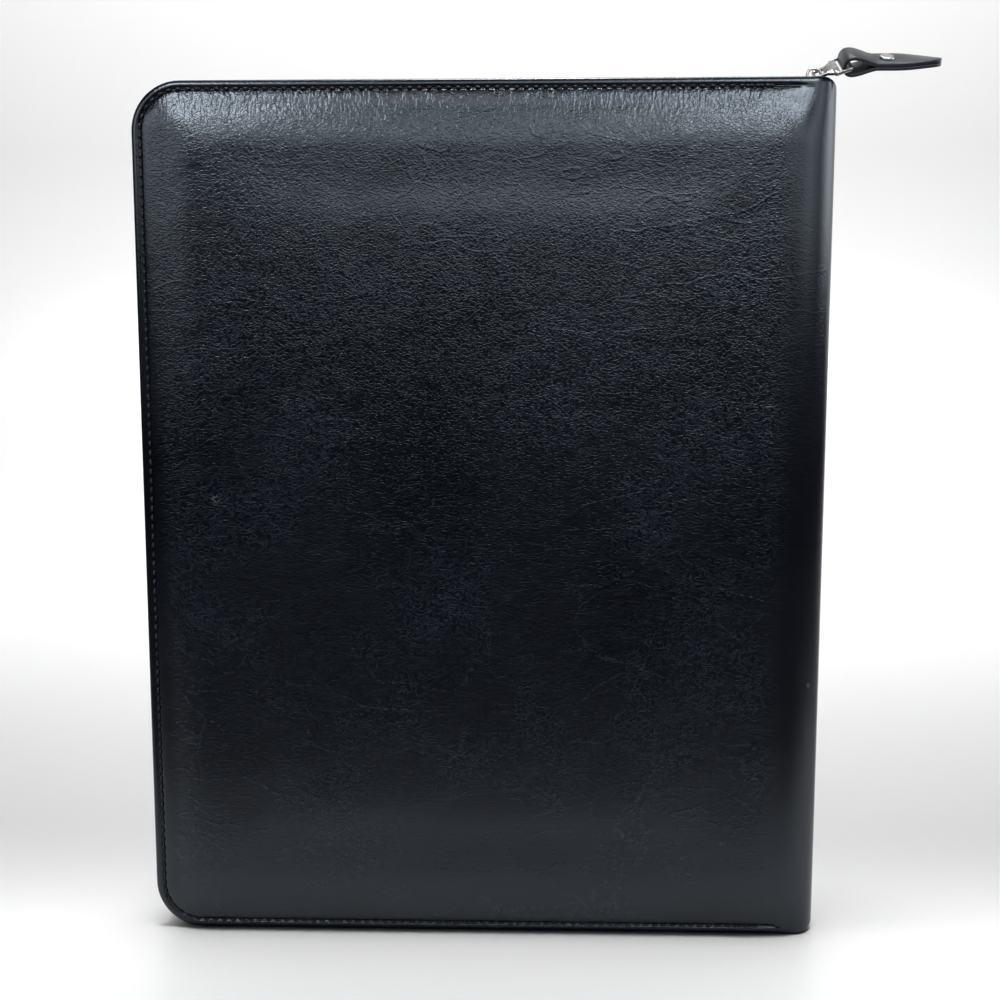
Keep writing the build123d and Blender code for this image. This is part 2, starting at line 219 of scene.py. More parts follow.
def ease(value: np.ndarray) -> np.ndarray:
    """Smooth rise from zero to one: three squares less two cubes of the value, held to that range."""
    held = np.clip(value, 0.0, 1.0)
    return held * held * (3 - 2 * held)


def rounded_section(width: float, height: float, radius: float, steps: int = 4) -> np.ndarray:
    """Closed outline of a rectangle whose corners are four quarter circles.

    Args:
        width: Full size along the first axis.
        height: Full size along the second axis.
        radius: Radius of the corners.
        steps: Parts of each quarter circle.

    Returns:
        Points in order, two numbers each.
    """
    turn = np.radians(np.linspace(0, 90, steps + 1)) + np.radians(90 * np.arange(4))[:, None]
    middle_x = np.array([1, -1, -1, 1])[:, None] * (width / 2 - radius)
    middle_y = np.array([1, 1, -1, -1])[:, None] * (height / 2 - radius)
    return np.stack([middle_x + radius * np.cos(turn), middle_y + radius * np.sin(turn)], -1).reshape(-1, 2)


def circle(radius: float, steps: int = 24) -> np.ndarray:
    """Points at equal angles on a circle."""
    turn = 2 * np.pi * np.arange(steps) / steps
    return radius * np.stack([np.cos(turn), np.sin(turn)], -1)


def sweep(path: np.ndarray, first: np.ndarray, second: np.ndarray, section: np.ndarray,
          scale: Any = 1.0) -> np.ndarray:
    """Carries a section along a path: path plus scale times the section's two parts along two directions.

    Args:
        path: One point per row.
        first: Direction of the section's first part, one for all rows or one per row.
        second: Direction of its second part, likewise.
        section: Points of the section, two numbers each.
        scale: Size of the section per row.

    Returns:
        Surface with a row per path point.
    """
    size = np.broadcast_to(scale, path.shape[:1])[:, None, None]
    first, second = (np.broadcast_to(way, path.shape)[:, None] for way in (first, second))
    return path[:, None] + size * (section[:, :1] * first + section[:, 1:] * second)


def close_ends(surface: np.ndarray) -> np.ndarray:
    """Adds a row at each end that draws the section together to its middle."""
    ends = np.repeat(surface[[0, -1]].mean(axis=1, keepdims=True), surface.shape[1], axis=1)
    return np.concatenate([ends[:1], surface, ends[1:]])


def plate(outline: np.ndarray, thickness: float, rounding: float, steps: int = 3) -> np.ndarray:
    """Flat plate with a rounded rim.

    The outline draws in by the rounding times one less cosine while the level follows the sine, on both
    faces, and both faces close at the outline's middle.

    Args:
        outline: Closed outline, in anticlockwise order.
        thickness: Full thickness along the third axis.
        rounding: Radius of the rim.
        steps: Parts of each quarter of the rim.

    Returns:
        Surface whose rows are closed loops.
    """
    tangent = unit(np.roll(outline, -1, axis=0) - np.roll(outline, 1, axis=0))
    outward = np.stack([tangent[:, 1], -tangent[:, 0]], -1)
    turn = np.radians(np.linspace(-90, 90, 2 * steps + 2))
    inset = rounding * (1 - np.cos(turn))[:, None, None]
    level = np.sign(turn) * (thickness / 2 - rounding) + rounding * np.sin(turn)
    rim = outline[None] - inset * outward[None]
    heights = np.broadcast_to(level[:, None, None], rim.shape[:2] + (1,))
    return close_ends(np.concatenate([rim, heights], axis=-1))


def turned(profile: np.ndarray, steps: int = 28) -> np.ndarray:
    """Surface of a profile of radius and level turned about the third axis.

    Args:
        profile: Radius and level of each row.
        steps: Points round the axis.

    Returns:
        Surface whose rows are closed loops.
    """
    ring = circle(1.0, steps)
    flat = profile[:, None, :1] * ring[None]
    return np.concatenate([flat, np.broadcast_to(profile[:, None, 1:], flat.shape[:2] + (1,))], axis=-1)


def ripple(x: np.ndarray, z: np.ndarray, wavelength: float, seed: int, waves: int = 9) -> np.ndarray:
    """Uneven hand of soft material: the mean of plane waves with seeded directions, lengths and phases.

    Args:
        x: First coordinate.
        z: Second coordinate.
        wavelength: Middle length of the waves.
        seed: Seed of the waves.
        waves: How many are added.

    Returns:
        Heights from about minus one to one.
    """
    draw = np.random.default_rng(seed)
    heading, phase = draw.uniform(0, 2 * np.pi, (2, waves))
    rate = 2 * np.pi / (wavelength * draw.uniform(0.6, 1.7, waves))
    swing = rate * (x[..., None] * np.cos(heading) + z[..., None] * np.sin(heading)) + phase
    return np.sin(swing).sum(axis=-1) / math.sqrt(waves)


# Finishes


class Field:
    """A number that varies over a surface: wraps a socket, and arithmetic on it adds Math nodes."""

    def __init__(self, graph: "Graph", socket: bpy.types.NodeSocket) -> None:
        """Keeps the socket and the graph that it is in."""
        self.graph = graph
        self.socket = socket

    def math(self, operation: str, *operands: Any) -> "Field":
        """Result of a Math node on the given operands."""
        return self.graph.field("ShaderNodeMath", {"operation": operation}, dict(enumerate(operands)))

    def __add__(self, other: Any) -> "Field":
        """Sum."""
        return self.math("ADD", self, other)

    def __radd__(self, other: Any) -> "Field":
        """Sum, with the number first."""
        return self.math("ADD", other, self)

    def __sub__(self, other: Any) -> "Field":
        """Difference."""
        return self.math("SUBTRACT", self, other)

    def __rsub__(self, other: Any) -> "Field":
        """Difference, with the number first."""
        return self.math("SUBTRACT", other, self)

    def __mul__(self, other: Any) -> "Field":
        """Product."""
        return self.math("MULTIPLY", self, other)

    def __rmul__(self, other: Any) -> "Field":
        """Product, with the number first."""
        return self.math("MULTIPLY", other, self)

    def __truediv__(self, other: Any) -> "Field":
        """Quotient."""
        return self.math("DIVIDE", self, other)

    def __abs__(self) -> "Field":
        """Size without sign."""
        return self.math("ABSOLUTE", self)

    def sine(self) -> "Field":
        """Sine of the number in radians."""
        return self.math("SINE", self)

    def fraction(self) -> "Field":
        """Part after the whole number."""
        return self.math("FRACT", self)

    def ridge(self, sharpness: float) -> "Field":
        """One on the lines where the number is a half, with a fall of the given sharpness beside them."""
        return 1 - abs(self - 0.5) * sharpness

    def rise(self, low: float, high: float) -> "Field":
        """Smooth step from zero at low to one at high."""
        return self.graph.field("ShaderNodeMapRange", {"interpolation_type": "SMOOTHSTEP"},
                                {"Value": self, "From Min": low, "From Max": high})


class Graph:
    """Node tree of one material."""

    def __init__(self, name: str) -> None:
        """Starts an empty material.

        Args:
            name: Name of the material.
        """
        self.material = bpy.data.materials.new(name)
        self.material.use_nodes = True
        self.tree = self.material.node_tree
        self.tree.nodes.clear()

    def node(self, kind: str, settings: Optional[dict[str, Any]] = None,
             inputs: Optional[dict[Union[str, int], Any]] = None) -> bpy.types.Node:
        """Adds a node.

        Args:
            kind: Blender's name of the node type.
            settings: Properties of the node, set first.
            inputs: Values, fields or sockets for the node's inputs, by name or number.

        Returns:
            The node.
        """
        made = self.tree.nodes.new(kind)
        for label, value in (settings or {}).items():
            setattr(made, label, value)
        for label, value in (inputs or {}).items():
            source = value.socket if isinstance(value, Field) else value
            if isinstance(source, bpy.types.NodeSocket):
                self.tree.links.new(source, made.inputs[label])
            else:
                made.inputs[label].default_value = source
        return made

    def field(self, kind: str, settings: Optional[dict[str, Any]] = None,
              inputs: Optional[dict[Union[str, int], Any]] = None, output: Union[str, int] = 0) -> Field:
        """Adds a node and wraps one of its outputs."""
        return Field(self, self.node(kind, settings, inputs).outputs[output])

    def position(self) -> bpy.types.NodeSocket:
        """Place on the piece in its own coordinates, in metres."""
        return self.node("ShaderNodeTexCoord").outputs["Object"]

    def parts(self, vector: bpy.types.NodeSocket) -> tuple[Field, Field, Field]:
        """The three parts of a vector."""
        split = self.node("ShaderNodeSeparateXYZ", inputs={0: vector})
        return tuple(Field(self, socket) for socket in split.outputs)

    def mark(self, label: str) -> Field:
        """Number that the mesh carries under that label."""
        return self.field("ShaderNodeAttribute", {"attribute_name": label}, output="Fac")

    def noise(self, vector: bpy.types.NodeSocket, size: float, detail: float = 2.0,
              output: Union[str, int] = 0) -> Field:
        """Cloudy noise whose patches are about the given size."""
        return self.field("ShaderNodeTexNoise", None,
                          {"Vector": vector, "Scale": 1.0 / size, "Detail": detail}, output)

    def warped(self, vector: bpy.types.NodeSocket, size: float, reach: float) -> bpy.types.NodeSocket:
        """Pushes a place about by coloured noise.

        Args:
            vector: Place to push.
            size: Size of the noise's patches.
            reach: Longest push.

        Returns:
            The pushed place.
        """
        drift = self.noise(vector, size, 2.0, "Color").socket
        return self.node("ShaderNodeVectorMath", {"operation": "MULTIPLY_ADD"},
                         {0: drift, 1: (reach, reach, reach), 2: vector}).outputs["Vector"]

    def stretched(self, vector: bpy.types.NodeSocket, scale: Colour,
                  turn: Colour = (0, 0, 0)) -> bpy.types.NodeSocket:
        """Vector turned and scaled by a Mapping node."""
        return self.node("ShaderNodeMapping", None,
                         {"Vector": vector, "Rotation": turn, "Scale": scale}).outputs["Vector"]

    def blend(self, share: Field, low: Any, high: Any) -> bpy.types.NodeSocket:
        """Mixes two colours by a share.

        Args:
            share: Share of the second colour.
            low: Colour where the share is zero.
            high: Colour where the share is one.

        Returns:
            The mixed colour.
        """
        both = [(*c, 1.0) if isinstance(c, tuple) else c for c in (low, high)]
        mix = self.node("ShaderNodeMix", {"data_type": "RGBA"}, {0: share, 6: both[0], 7: both[1]})
        return mix.outputs[2]

    def cell_edges(self, vector: bpy.types.NodeSocket, size: float) -> Field:
        """Distance from the edges of cells of a size, counted in that size."""
        return self.field("ShaderNodeTexVoronoi", {"feature": "DISTANCE_TO_EDGE"},
                          {"Vector": vector, "Scale": 1.0 / size}, "Distance")

    def relief(self, height: Field, depth: float) -> bpy.types.NodeSocket:
        """Normal of a surface whose height varies over a depth in metres."""
        return self.node("ShaderNodeBump", None,
                         {"Strength": 1.0, "Distance": depth, "Height": height}).outputs["Normal"]

    def finish(self, **inputs: Any) -> bpy.types.Material:
        """Closes the tree with a Principled shader.

        Args:
            **inputs: The shader's inputs, named with underscores for spaces.

        Returns:
            The material.
        """
        named = {label.replace("_", " "): (*value, 1.0) if isinstance(value, tuple) else value
                 for label, value in inputs.items()}
        shader = self.node("ShaderNodeBsdfPrincipled", None, named)
        self.node("ShaderNodeOutputMaterial", None, {"Surface": shader.outputs[0]})
        return self.material


class Finish:
    """Base of the finishes: makes its material once and puts it on pieces."""

    name: str

    def make(self) -> bpy.types.Material:
        """Builds the material."""
        raise NotImplementedError

    def dress(self, piece: bpy.types.Object) -> bpy.types.Object:
        """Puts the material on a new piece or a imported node.

        Args:
            piece: Object to dress.

        Returns:
            The same object.
        """
        material = bpy.data.materials.get(self.name) or self.make()
        if piece.material_slots:
            piece.material_slots[0].material = material
        else:
            piece.data.materials.append(material)
        return piece


@dataclass(frozen=True)
class Grain:
    """Sizes of the marks in leatherette, and their shares in its relief and in the painted highlight on its
    crests.
    """

    stretch: Colour = (0.6, 1.0, 1.0)
    pleat: float = 2.0 * MM
    pleat_stretch: Colour = (1.0, 1.0, 0.3)
    pleat_zone: float = 12 * MM
    fold: float = 3.0 * MM
    fold_stretch: Colour = (0.3, 1.0, 1.0)
    fold_bend: tuple[float, float] = (30 * MM, 26 * MM)
    patch: float = 34 * MM
    vein: float = 21 * MM
    vein_stretch: Colour = (0.55, 1.0, 1.0)
    vein_bend: tuple[float, float] = (24 * MM, 30 * MM)
    vein_patch: float = 45 * MM
    cloud: float = 60 * MM
    relief_shares: tuple[float, float, float, float] = (0.25, 0.45, 0.4, 0.5)
    crest_glint_shares: tuple[float, float, float] = (0.75, 0.25, 0.3)
    calming: float = 0.8
    scuff_share: float = 0.4
    scuff: Colour = (0.16, 0.16, 0.17)
    shine: Colour = (0.82, 0.91, 1.0)


GRAIN = Grain()


@dataclass(frozen=True)
class Leatherette(Finish):
    """Embossed leatherette: small cells, drawn wrinkles and sparse creases with a painted highlight on their
    crests, calmer where the mesh says.
    """

    name: str
    dark: Colour
    light: Colour
    # Painted highlight: the colour laid on the grain's crests in place of glints off them.
    crest: Colour
    roughness: float
    cell: float = 1.0 * MM
    depth: float = 0.085 * MM
    gather: float = 0.0
    scuffs: tuple[tuple[float, float, float, float], ...] = ()

    def network(self, g: Graph, place: bpy.types.NodeSocket) -> tuple[Field, Field]:
        """Small cells, and an even net of fine lines.

        Args:
            g: Graph of the material.
            place: Place on the piece.

        Returns:
            The cells, low at their edges, and the lines.
        """
        bent = g.stretched(g.warped(place, 7 * self.cell, 2.4 * self.cell), GRAIN.stretch)
        cells = g.cell_edges(bent, self.cell).rise(0.0, 0.3)
        fine = g.noise(bent, 1.3 * self.cell, 1.5).ridge(9.0).rise(0.0, 1.0)
        return cells, fine

    def creases(self, g: Graph, place: bpy.types.NodeSocket) -> tuple[Field, Field, Field]:
        """Drawn folds that come in patches, and sparse long veins.

        Args:
            g: Graph of the material.
            place: Place on the piece.

        Returns:
            The patches, the folds and the veins.
        """
        drawn = g.stretched(g.warped(place, *GRAIN.fold_bend), GRAIN.fold_stretch)
        patch = g.noise(place, GRAIN.patch, 3.0)
        folds = g.noise(drawn, GRAIN.fold, 2.0).ridge(7.0).rise(0.1, 1.0) * patch.rise(0.35, 0.75)
        wide = g.warped(g.stretched(place, GRAIN.vein_stretch), *GRAIN.vein_bend)
        lines = 1 - g.cell_edges(wide, GRAIN.vein).rise(0.0, 0.03)
        veins = lines * g.noise(place, GRAIN.vein_patch, 2.0).rise(0.45, 0.6)
        return patch, folds, veins

    def gathered(self, g: Graph, place: bpy.types.NodeSocket, plain: Field) -> Field:
        """Trades the plain relief for upright gathers near the top, where the skin is drawn to its seam.

        Args:
            g: Graph of the material.
            place: Place on the piece.
            plain: Relief without the gathers.

        Returns:
            Relief with them.
        """
        pleats = g.noise(g.stretched(place, GRAIN.pleat_stretch), GRAIN.pleat, 2.0).ridge(5.0)
        share = g.parts(place)[2].rise(self.gather, self.gather + GRAIN.pleat_zone)
        return plain + share * (0.9 * pleats.rise(0.0, 1.0) - 0.6 * plain)

    def make(self) -> bpy.types.Material:
        """Height is cells and fine lines, plus folds and veins; the colour is lighter on the crests, a
        painted highlight in place of glints off the grain.

        Returns:
            The material.
        """
        g = Graph(self.name)
        place = g.position()
        quiet = 1 - GRAIN.calming * g.mark("across")
        cells, fine = self.network(g, place)
        patch, folds, veins = self.creases(g, place)
        in_cells, in_fine, in_folds, in_veins = GRAIN.relief_shares
        height = in_cells * cells + in_fine * fine + in_folds * folds + in_veins * veins
        if self.gather:
            height = self.gathered(g, place, height)
        cloud = g.noise(place, GRAIN.cloud, 3.0)
        colour = g.blend(cloud.rise(0.3, 0.7), self.dark, self.light)
        # Painted highlight: the crests of the fine lines, folds and veins are lightened towards the crest
        # colour, standing in for glints off the grain.
        of_fine, of_folds, of_veins = GRAIN.crest_glint_shares
        crest_glint = of_fine * fine * (0.7 + 0.3 * patch.rise(0.35, 0.65)) + of_folds * folds + of_veins * veins
        colour = g.blend((crest_glint * quiet).rise(0.25, 1.05), colour, self.crest)
        for *spot, radius in self.scuffs:
            gap = g.field("ShaderNodeVectorMath", {"operation": "DISTANCE"}, {0: place, 1: spot}, "Value")
            share = GRAIN.scuff_share * (1 - gap.rise(0.2 * radius, radius)) * fine
            colour = g.blend(share, colour, GRAIN.scuff)
        rough = self.roughness + 0.06 * (cloud - 0.5) + 0.03 * (1 - cells)
        return g.finish(Base_Color=colour, Roughness=rough, Normal=g.relief(height * quiet, self.depth),
                        Specular_Tint=GRAIN.shine)


@dataclass(frozen=True)
class Woven(Finish):
    """Plain weave of fine threads that run along two of the piece's own axes."""

    name: str
    dark: Colour
    light: Colour
    pitch: float
    depth: float
    roughness: float = 0.75
    slant: float = 0.0

    def make(self) -> bpy.types.Material:
        """Height is the product of a sine along the width and one along the height, with uneven threads.

        Returns:
            The material.
        """
        g = Graph(self.name)
        place = g.warped(g.position(), 6 * MM, 0.25 * self.pitch)
        x, y, z = g.parts(g.stretched(place, (1, 1, 1), (0, math.radians(self.slant), 0)))
        rate = math.pi / self.pitch
        weave = (x * rate).sine() * ((z + y) * rate).sine()
        fuzz = g.noise(place, 0.4 * self.pitch, 3.0)
        shade = (0.5 + 0.35 * weave + 0.5 * (fuzz - 0.5) + 0.4 * (g.noise(place, 30 * MM) - 0.5))
        return g.finish(Base_Color=g.blend(shade.rise(0.0, 1.0), self.dark, self.light),
                        Roughness=self.roughness + 0.15 * (fuzz - 0.5),
                        Normal=g.relief(weave + 0.4 * fuzz, self.depth),
                        Sheen_Weight=0.15, Sheen_Roughness=0.5)


@dataclass(frozen=True)
class Twill(Finish):
    """Zip tape: diagonal ribs that follow the length of the tape."""

    name: str
    dark: Colour
    light: Colour
    pitch: float = 0.55 * MM
    roughness: float = 0.8

    def make(self) -> bpy.types.Material:
        """Height is a sine of the length plus the width, so that the ribs run slantwise.

        Returns:
            The material.
        """
        g = Graph(self.name)
        along = g.mark("along")
        across = g.mark("across")
        ribs = ((along + across) * (2 * math.pi / self.pitch)).sine()
        rows = (across * (2 * math.pi / self.pitch)).sine()
        fuzz = g.noise(g.position(), 0.3 * MM, 3.0)
        shade = (0.45 + 0.25 * ribs + 0.15 * rows + 0.4 * (fuzz - 0.5)).rise(0.0, 1.0)
        return g.finish(Base_Color=g.blend(shade, self.dark, self.light), Roughness=self.roughness,
                        Normal=g.relief(ribs + 0.5 * rows + 0.5 * fuzz, 0.05 * MM),
                        Sheen_Weight=0.2, Sheen_Roughness=0.5)


@dataclass(frozen=True)
class Plated(Finish):
    """Plated metal with soft smears and fine scratches."""

    name: str
    colour: Colour
    roughness: float
    scratch: float = 0.02 * MM

    def make(self) -> bpy.types.Material:
        """Roughness follows smears; fine stretched noise gives the scratches.

        Returns:
            The material.
        """
        g = Graph(self.name)
        place = g.position()
        smear = g.noise(place, 3 * MM, 4.0)
        lines = g.noise(g.stretched(place, (9.0, 1.0, 1.4), (0.3, 0.5, 0.2)), 1.6 * MM, 3.0)
        tone = g.blend(smear.rise(0.3, 0.75), tuple(0.78 * c for c in self.colour), self.colour)
        return g.finish(Base_Color=tone, Metallic=1.0,
                        Roughness=self.roughness + 0.18 * (smear - 0.5) + 0.1 * (lines - 0.5),
                        Normal=g.relief(lines, self.scratch))


@dataclass(frozen=True)
class Moulded(Finish):
    """Moulded or sheet material with a fine uneven face: nylon teeth, board, card and stiffener."""

    name: str
    dark: Colour
    light: Colour
    roughness: float
    grain: float
    depth: float

    def make(self) -> bpy.types.Material:
        """Fine and slow noise shift the colour, and the fine one also the height.

        Returns:
            The material.
        """
        g = Graph(self.name)
        place = g.position()
        fine = g.noise(place, self.grain, 4.0)
        slow = g.noise(place, 14 * self.grain, 3.0)
        return g.finish(Base_Color=g.blend((0.6 * fine + 0.4 * slow).rise(0.3, 0.7), self.dark, self.light),
                        Roughness=self.roughness + 0.2 * (fine - 0.5), Normal=g.relief(fine, self.depth))


@dataclass(frozen=True)
class SpunThread(Finish):
    """Twisted sewing thread with a slight shine."""

    name: str
    dark: Colour
    light: Colour
    twist: float = 0.9 * MM

    def make(self) -> bpy.types.Material:
        """Height is a sine of the length along the stitch, slanted by the place across it.

        Returns:
            The material.
        """
        g = Graph(self.name)
        x, y, z = g.parts(g.position())
        turn = (g.mark("along") + 0.7 * (x + z) + 1.3 * y) * (2 * math.pi / self.twist)
        ply = turn.sine()
        return g.finish(Base_Color=g.blend((0.5 + 0.5 * ply).rise(0.0, 1.0), self.dark, self.light),
                        Roughness=0.55 - 0.06 * ply, Normal=g.relief(ply, 0.06 * MM))


@dataclass(frozen=True)
class Paper(Finish):
    """Writing paper: ruled on the top sheet, and a stack of cut edges on the block below it."""

    name: str
    colour: Colour
    ruled: bool
    line_pitch: float = 7.1 * MM
    line_width: float = 0.28 * MM
    line_ink: Colour = (0.28, 0.45, 0.66)
    margin_ink: Colour = (0.72, 0.25, 0.27)
    ink_share: float = 0.6
    margin: float = 0.0
    first_line: float = 0.0

    def make(self) -> bpy.types.Material:
        """Lines lie where the height is near a whole number of pitches; edges are stripes of the thickness.

        Returns:
            The material.
        """
        g = Graph(self.name)
        place = g.position()
        x, _, z = g.parts(place)
        fibre = g.noise(place, 0.5 * MM, 4.0)
        tone = g.blend(fibre.rise(0.3, 0.75), tuple(0.95 * c for c in self.colour), self.colour)
        if self.ruled:
            step = ((self.first_line - z) / self.line_pitch).fraction() - 0.5
            half = 0.5 * self.line_width / self.line_pitch
            line = abs(step).rise(0.5 - 2 * half, 0.5 - half) * (self.first_line - z).rise(0.0, 2 * MM)
            tone = g.blend(self.ink_share * line, tone, self.line_ink)
            rule = 1 - abs(x - self.margin).rise(0.5 * self.line_width, self.line_width)
            return g.finish(Base_Color=g.blend(self.ink_share * rule, tone, self.margin_ink), Roughness=0.78,
                            Normal=g.relief(fibre, 0.012 * MM))
        leaves = g.noise(g.stretched(place, (0.02, 1.0, 0.02)), 0.11 * MM, 1.0)
        shade = tuple(0.72 * c for c in self.colour)
        return g.finish(Base_Color=g.blend(leaves.rise(0.35, 0.7), shade, tone), Roughness=0.85,
                        Normal=g.relief(leaves, 0.05 * MM))


@dataclass(frozen=True)
class Ribbed(Finish):
    """Elastic webbing with ribs round the loop."""

    name: str
    dark: Colour
    light: Colour
    pitch: float = 1.1 * MM

    def make(self) -> bpy.types.Material:
        """Ribs are a sine of the place across the band, broken by the threads along it.

        Returns:
            The material.
        """
        g = Graph(self.name)
        ribs = (g.mark("across") * (2 * math.pi / self.pitch)).sine()
        picks = (g.mark("along") * (2 * math.pi / (0.5 * self.pitch))).sine()
        fuzz = g.noise(g.position(), 0.3 * MM, 3.0)
        shade = (0.5 + 0.3 * ribs + 0.1 * picks + 0.4 * (fuzz - 0.5)).rise(0.0, 1.0)
        return g.finish(Base_Color=g.blend(shade, self.dark, self.light), Roughness=0.8,
                        Normal=g.relief(ribs + 0.35 * picks + 0.4 * fuzz, 0.12 * MM),
                        Sheen_Weight=0.2, Sheen_Roughness=0.5)


@dataclass(frozen=True)
class Painted(Finish):
    """Plain studio surface with a faint unevenness."""

    name: str
    colour: Colour
    roughness: float

    def make(self) -> bpy.types.Material:
        """A slow noise shifts the colour by a few parts in a hundred.

        Returns:
            The material.
        """
        g = Graph(self.name)
        cloud = g.noise(g.position(), 0.4, 2.0)
        return g.finish(Base_Color=g.blend(cloud, tuple(0.97 * c for c in self.colour), self.colour),
                        Roughness=self.roughness)


COVER_SCUFFS = ((-0.2375, -0.015, 0.1765, 2.4 * MM), (-0.006, -0.0105, 0.103, 1.6 * MM))
# The third colour of each leatherette is the painted highlight on its crests.
COVER_LEATHER = Leatherette("cover_leatherette_finish", (0.0012, 0.0017, 0.0033), (0.0036, 0.0043, 0.0068),
                            (0.012, 0.015, 0.022), 0.19, gather=316 * MM, scuffs=COVER_SCUFFS)
INNER_LEATHER = Leatherette("inner_leatherette_finish", (0.006, 0.006, 0.007), (0.014, 0.014, 0.016),
                            (0.03, 0.03, 0.033), 0.5, cell=0.8 * MM, depth=0.06 * MM)
TAB_LEATHER = Leatherette("tab_leather_finish", (0.010, 0.010, 0.011), (0.026, 0.026, 0.028),
                          (0.04, 0.04, 0.042), 0.4, cell=0.6 * MM, depth=0.025 * MM)
LINING_CLOTH = Woven("lining_weave", (0.008, 0.008, 0.009), (0.026, 0.026, 0.029), 0.45 * MM, 0.05 * MM)
BINDING_CLOTH = Woven("binding_weave", (0.015, 0.015, 0.017), (0.05, 0.05, 0.055), 0.5 * MM, 0.05 * MM,
                      slant=45)
TAPE_CLOTH = Twill("zip_tape_twill", (0.006, 0.006, 0.007), (0.022, 0.022, 0.024))
BLACK_THREAD = SpunThread("cover_thread", (0.001, 0.001, 0.0012), (0.006, 0.006, 0.007))
ELASTIC = Ribbed("elastic_webbing", (0.008, 0.008, 0.009), (0.03, 0.03, 0.032))
NICKEL = Plated("bright_nickel", (0.46, 0.455, 0.45), 0.28)
SATIN_NICKEL = Plated("satin_nickel", (0.50, 0.50, 0.50), 0.34)
TOOTH_NYLON = Moulded("tooth_nylon", (0.008, 0.008, 0.009), (0.022, 0.022, 0.024), 0.35, 0.5 * MM, 0.02 * MM)
BOARD = Moulded("grey_board", (0.3, 0.27, 0.22), (0.44, 0.4, 0.34), 0.9, 0.7 * MM, 0.05 * MM)
CARD = Moulded("backing_card", (0.38, 0.32, 0.24), (0.52, 0.46, 0.36), 0.88, 0.6 * MM, 0.04 * MM)
STIFFENER = Moulded("spine_sheet", (0.07, 0.07, 0.07), (0.13, 0.13, 0.13), 0.6, 1.0 * MM, 0.03 * MM)
SHEET_EDGES = Paper("pad_leaves", (0.86, 0.85, 0.82), False)
FLOOR_PAINT = Painted("studio_floor", (0.86, 0.86, 0.865), 0.32)


def fit(piece: bpy.types.Object, finish: Finish, body: str, slot: str, *nodes: str) -> bpy.types.Object:
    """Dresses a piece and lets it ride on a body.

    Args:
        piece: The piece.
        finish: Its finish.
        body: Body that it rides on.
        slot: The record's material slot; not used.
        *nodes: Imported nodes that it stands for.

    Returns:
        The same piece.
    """
    finish.dress(piece)
    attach(piece, body)
    if nodes:
        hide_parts(*nodes)
    return piece


# Shared shape of the folio


class Side(Enum):
    """The two covers: the body that carries each, and the sign of its outward Y."""

    BACK = ("back_cover", -1.0)
    FRONT = ("front_cover", 1.0)

    @property
    def body(self) -> str:
        """Body that the cover's pieces ride on."""
        return self.value[0]

    @property
    def sign(self) -> float:
        """Sign of the outward direction along Y."""
        return self.value[1]

    @property
    def word(self) -> str:
        """First word of the names of this cover's nodes."""
        return self.value[0].split("_")[0]


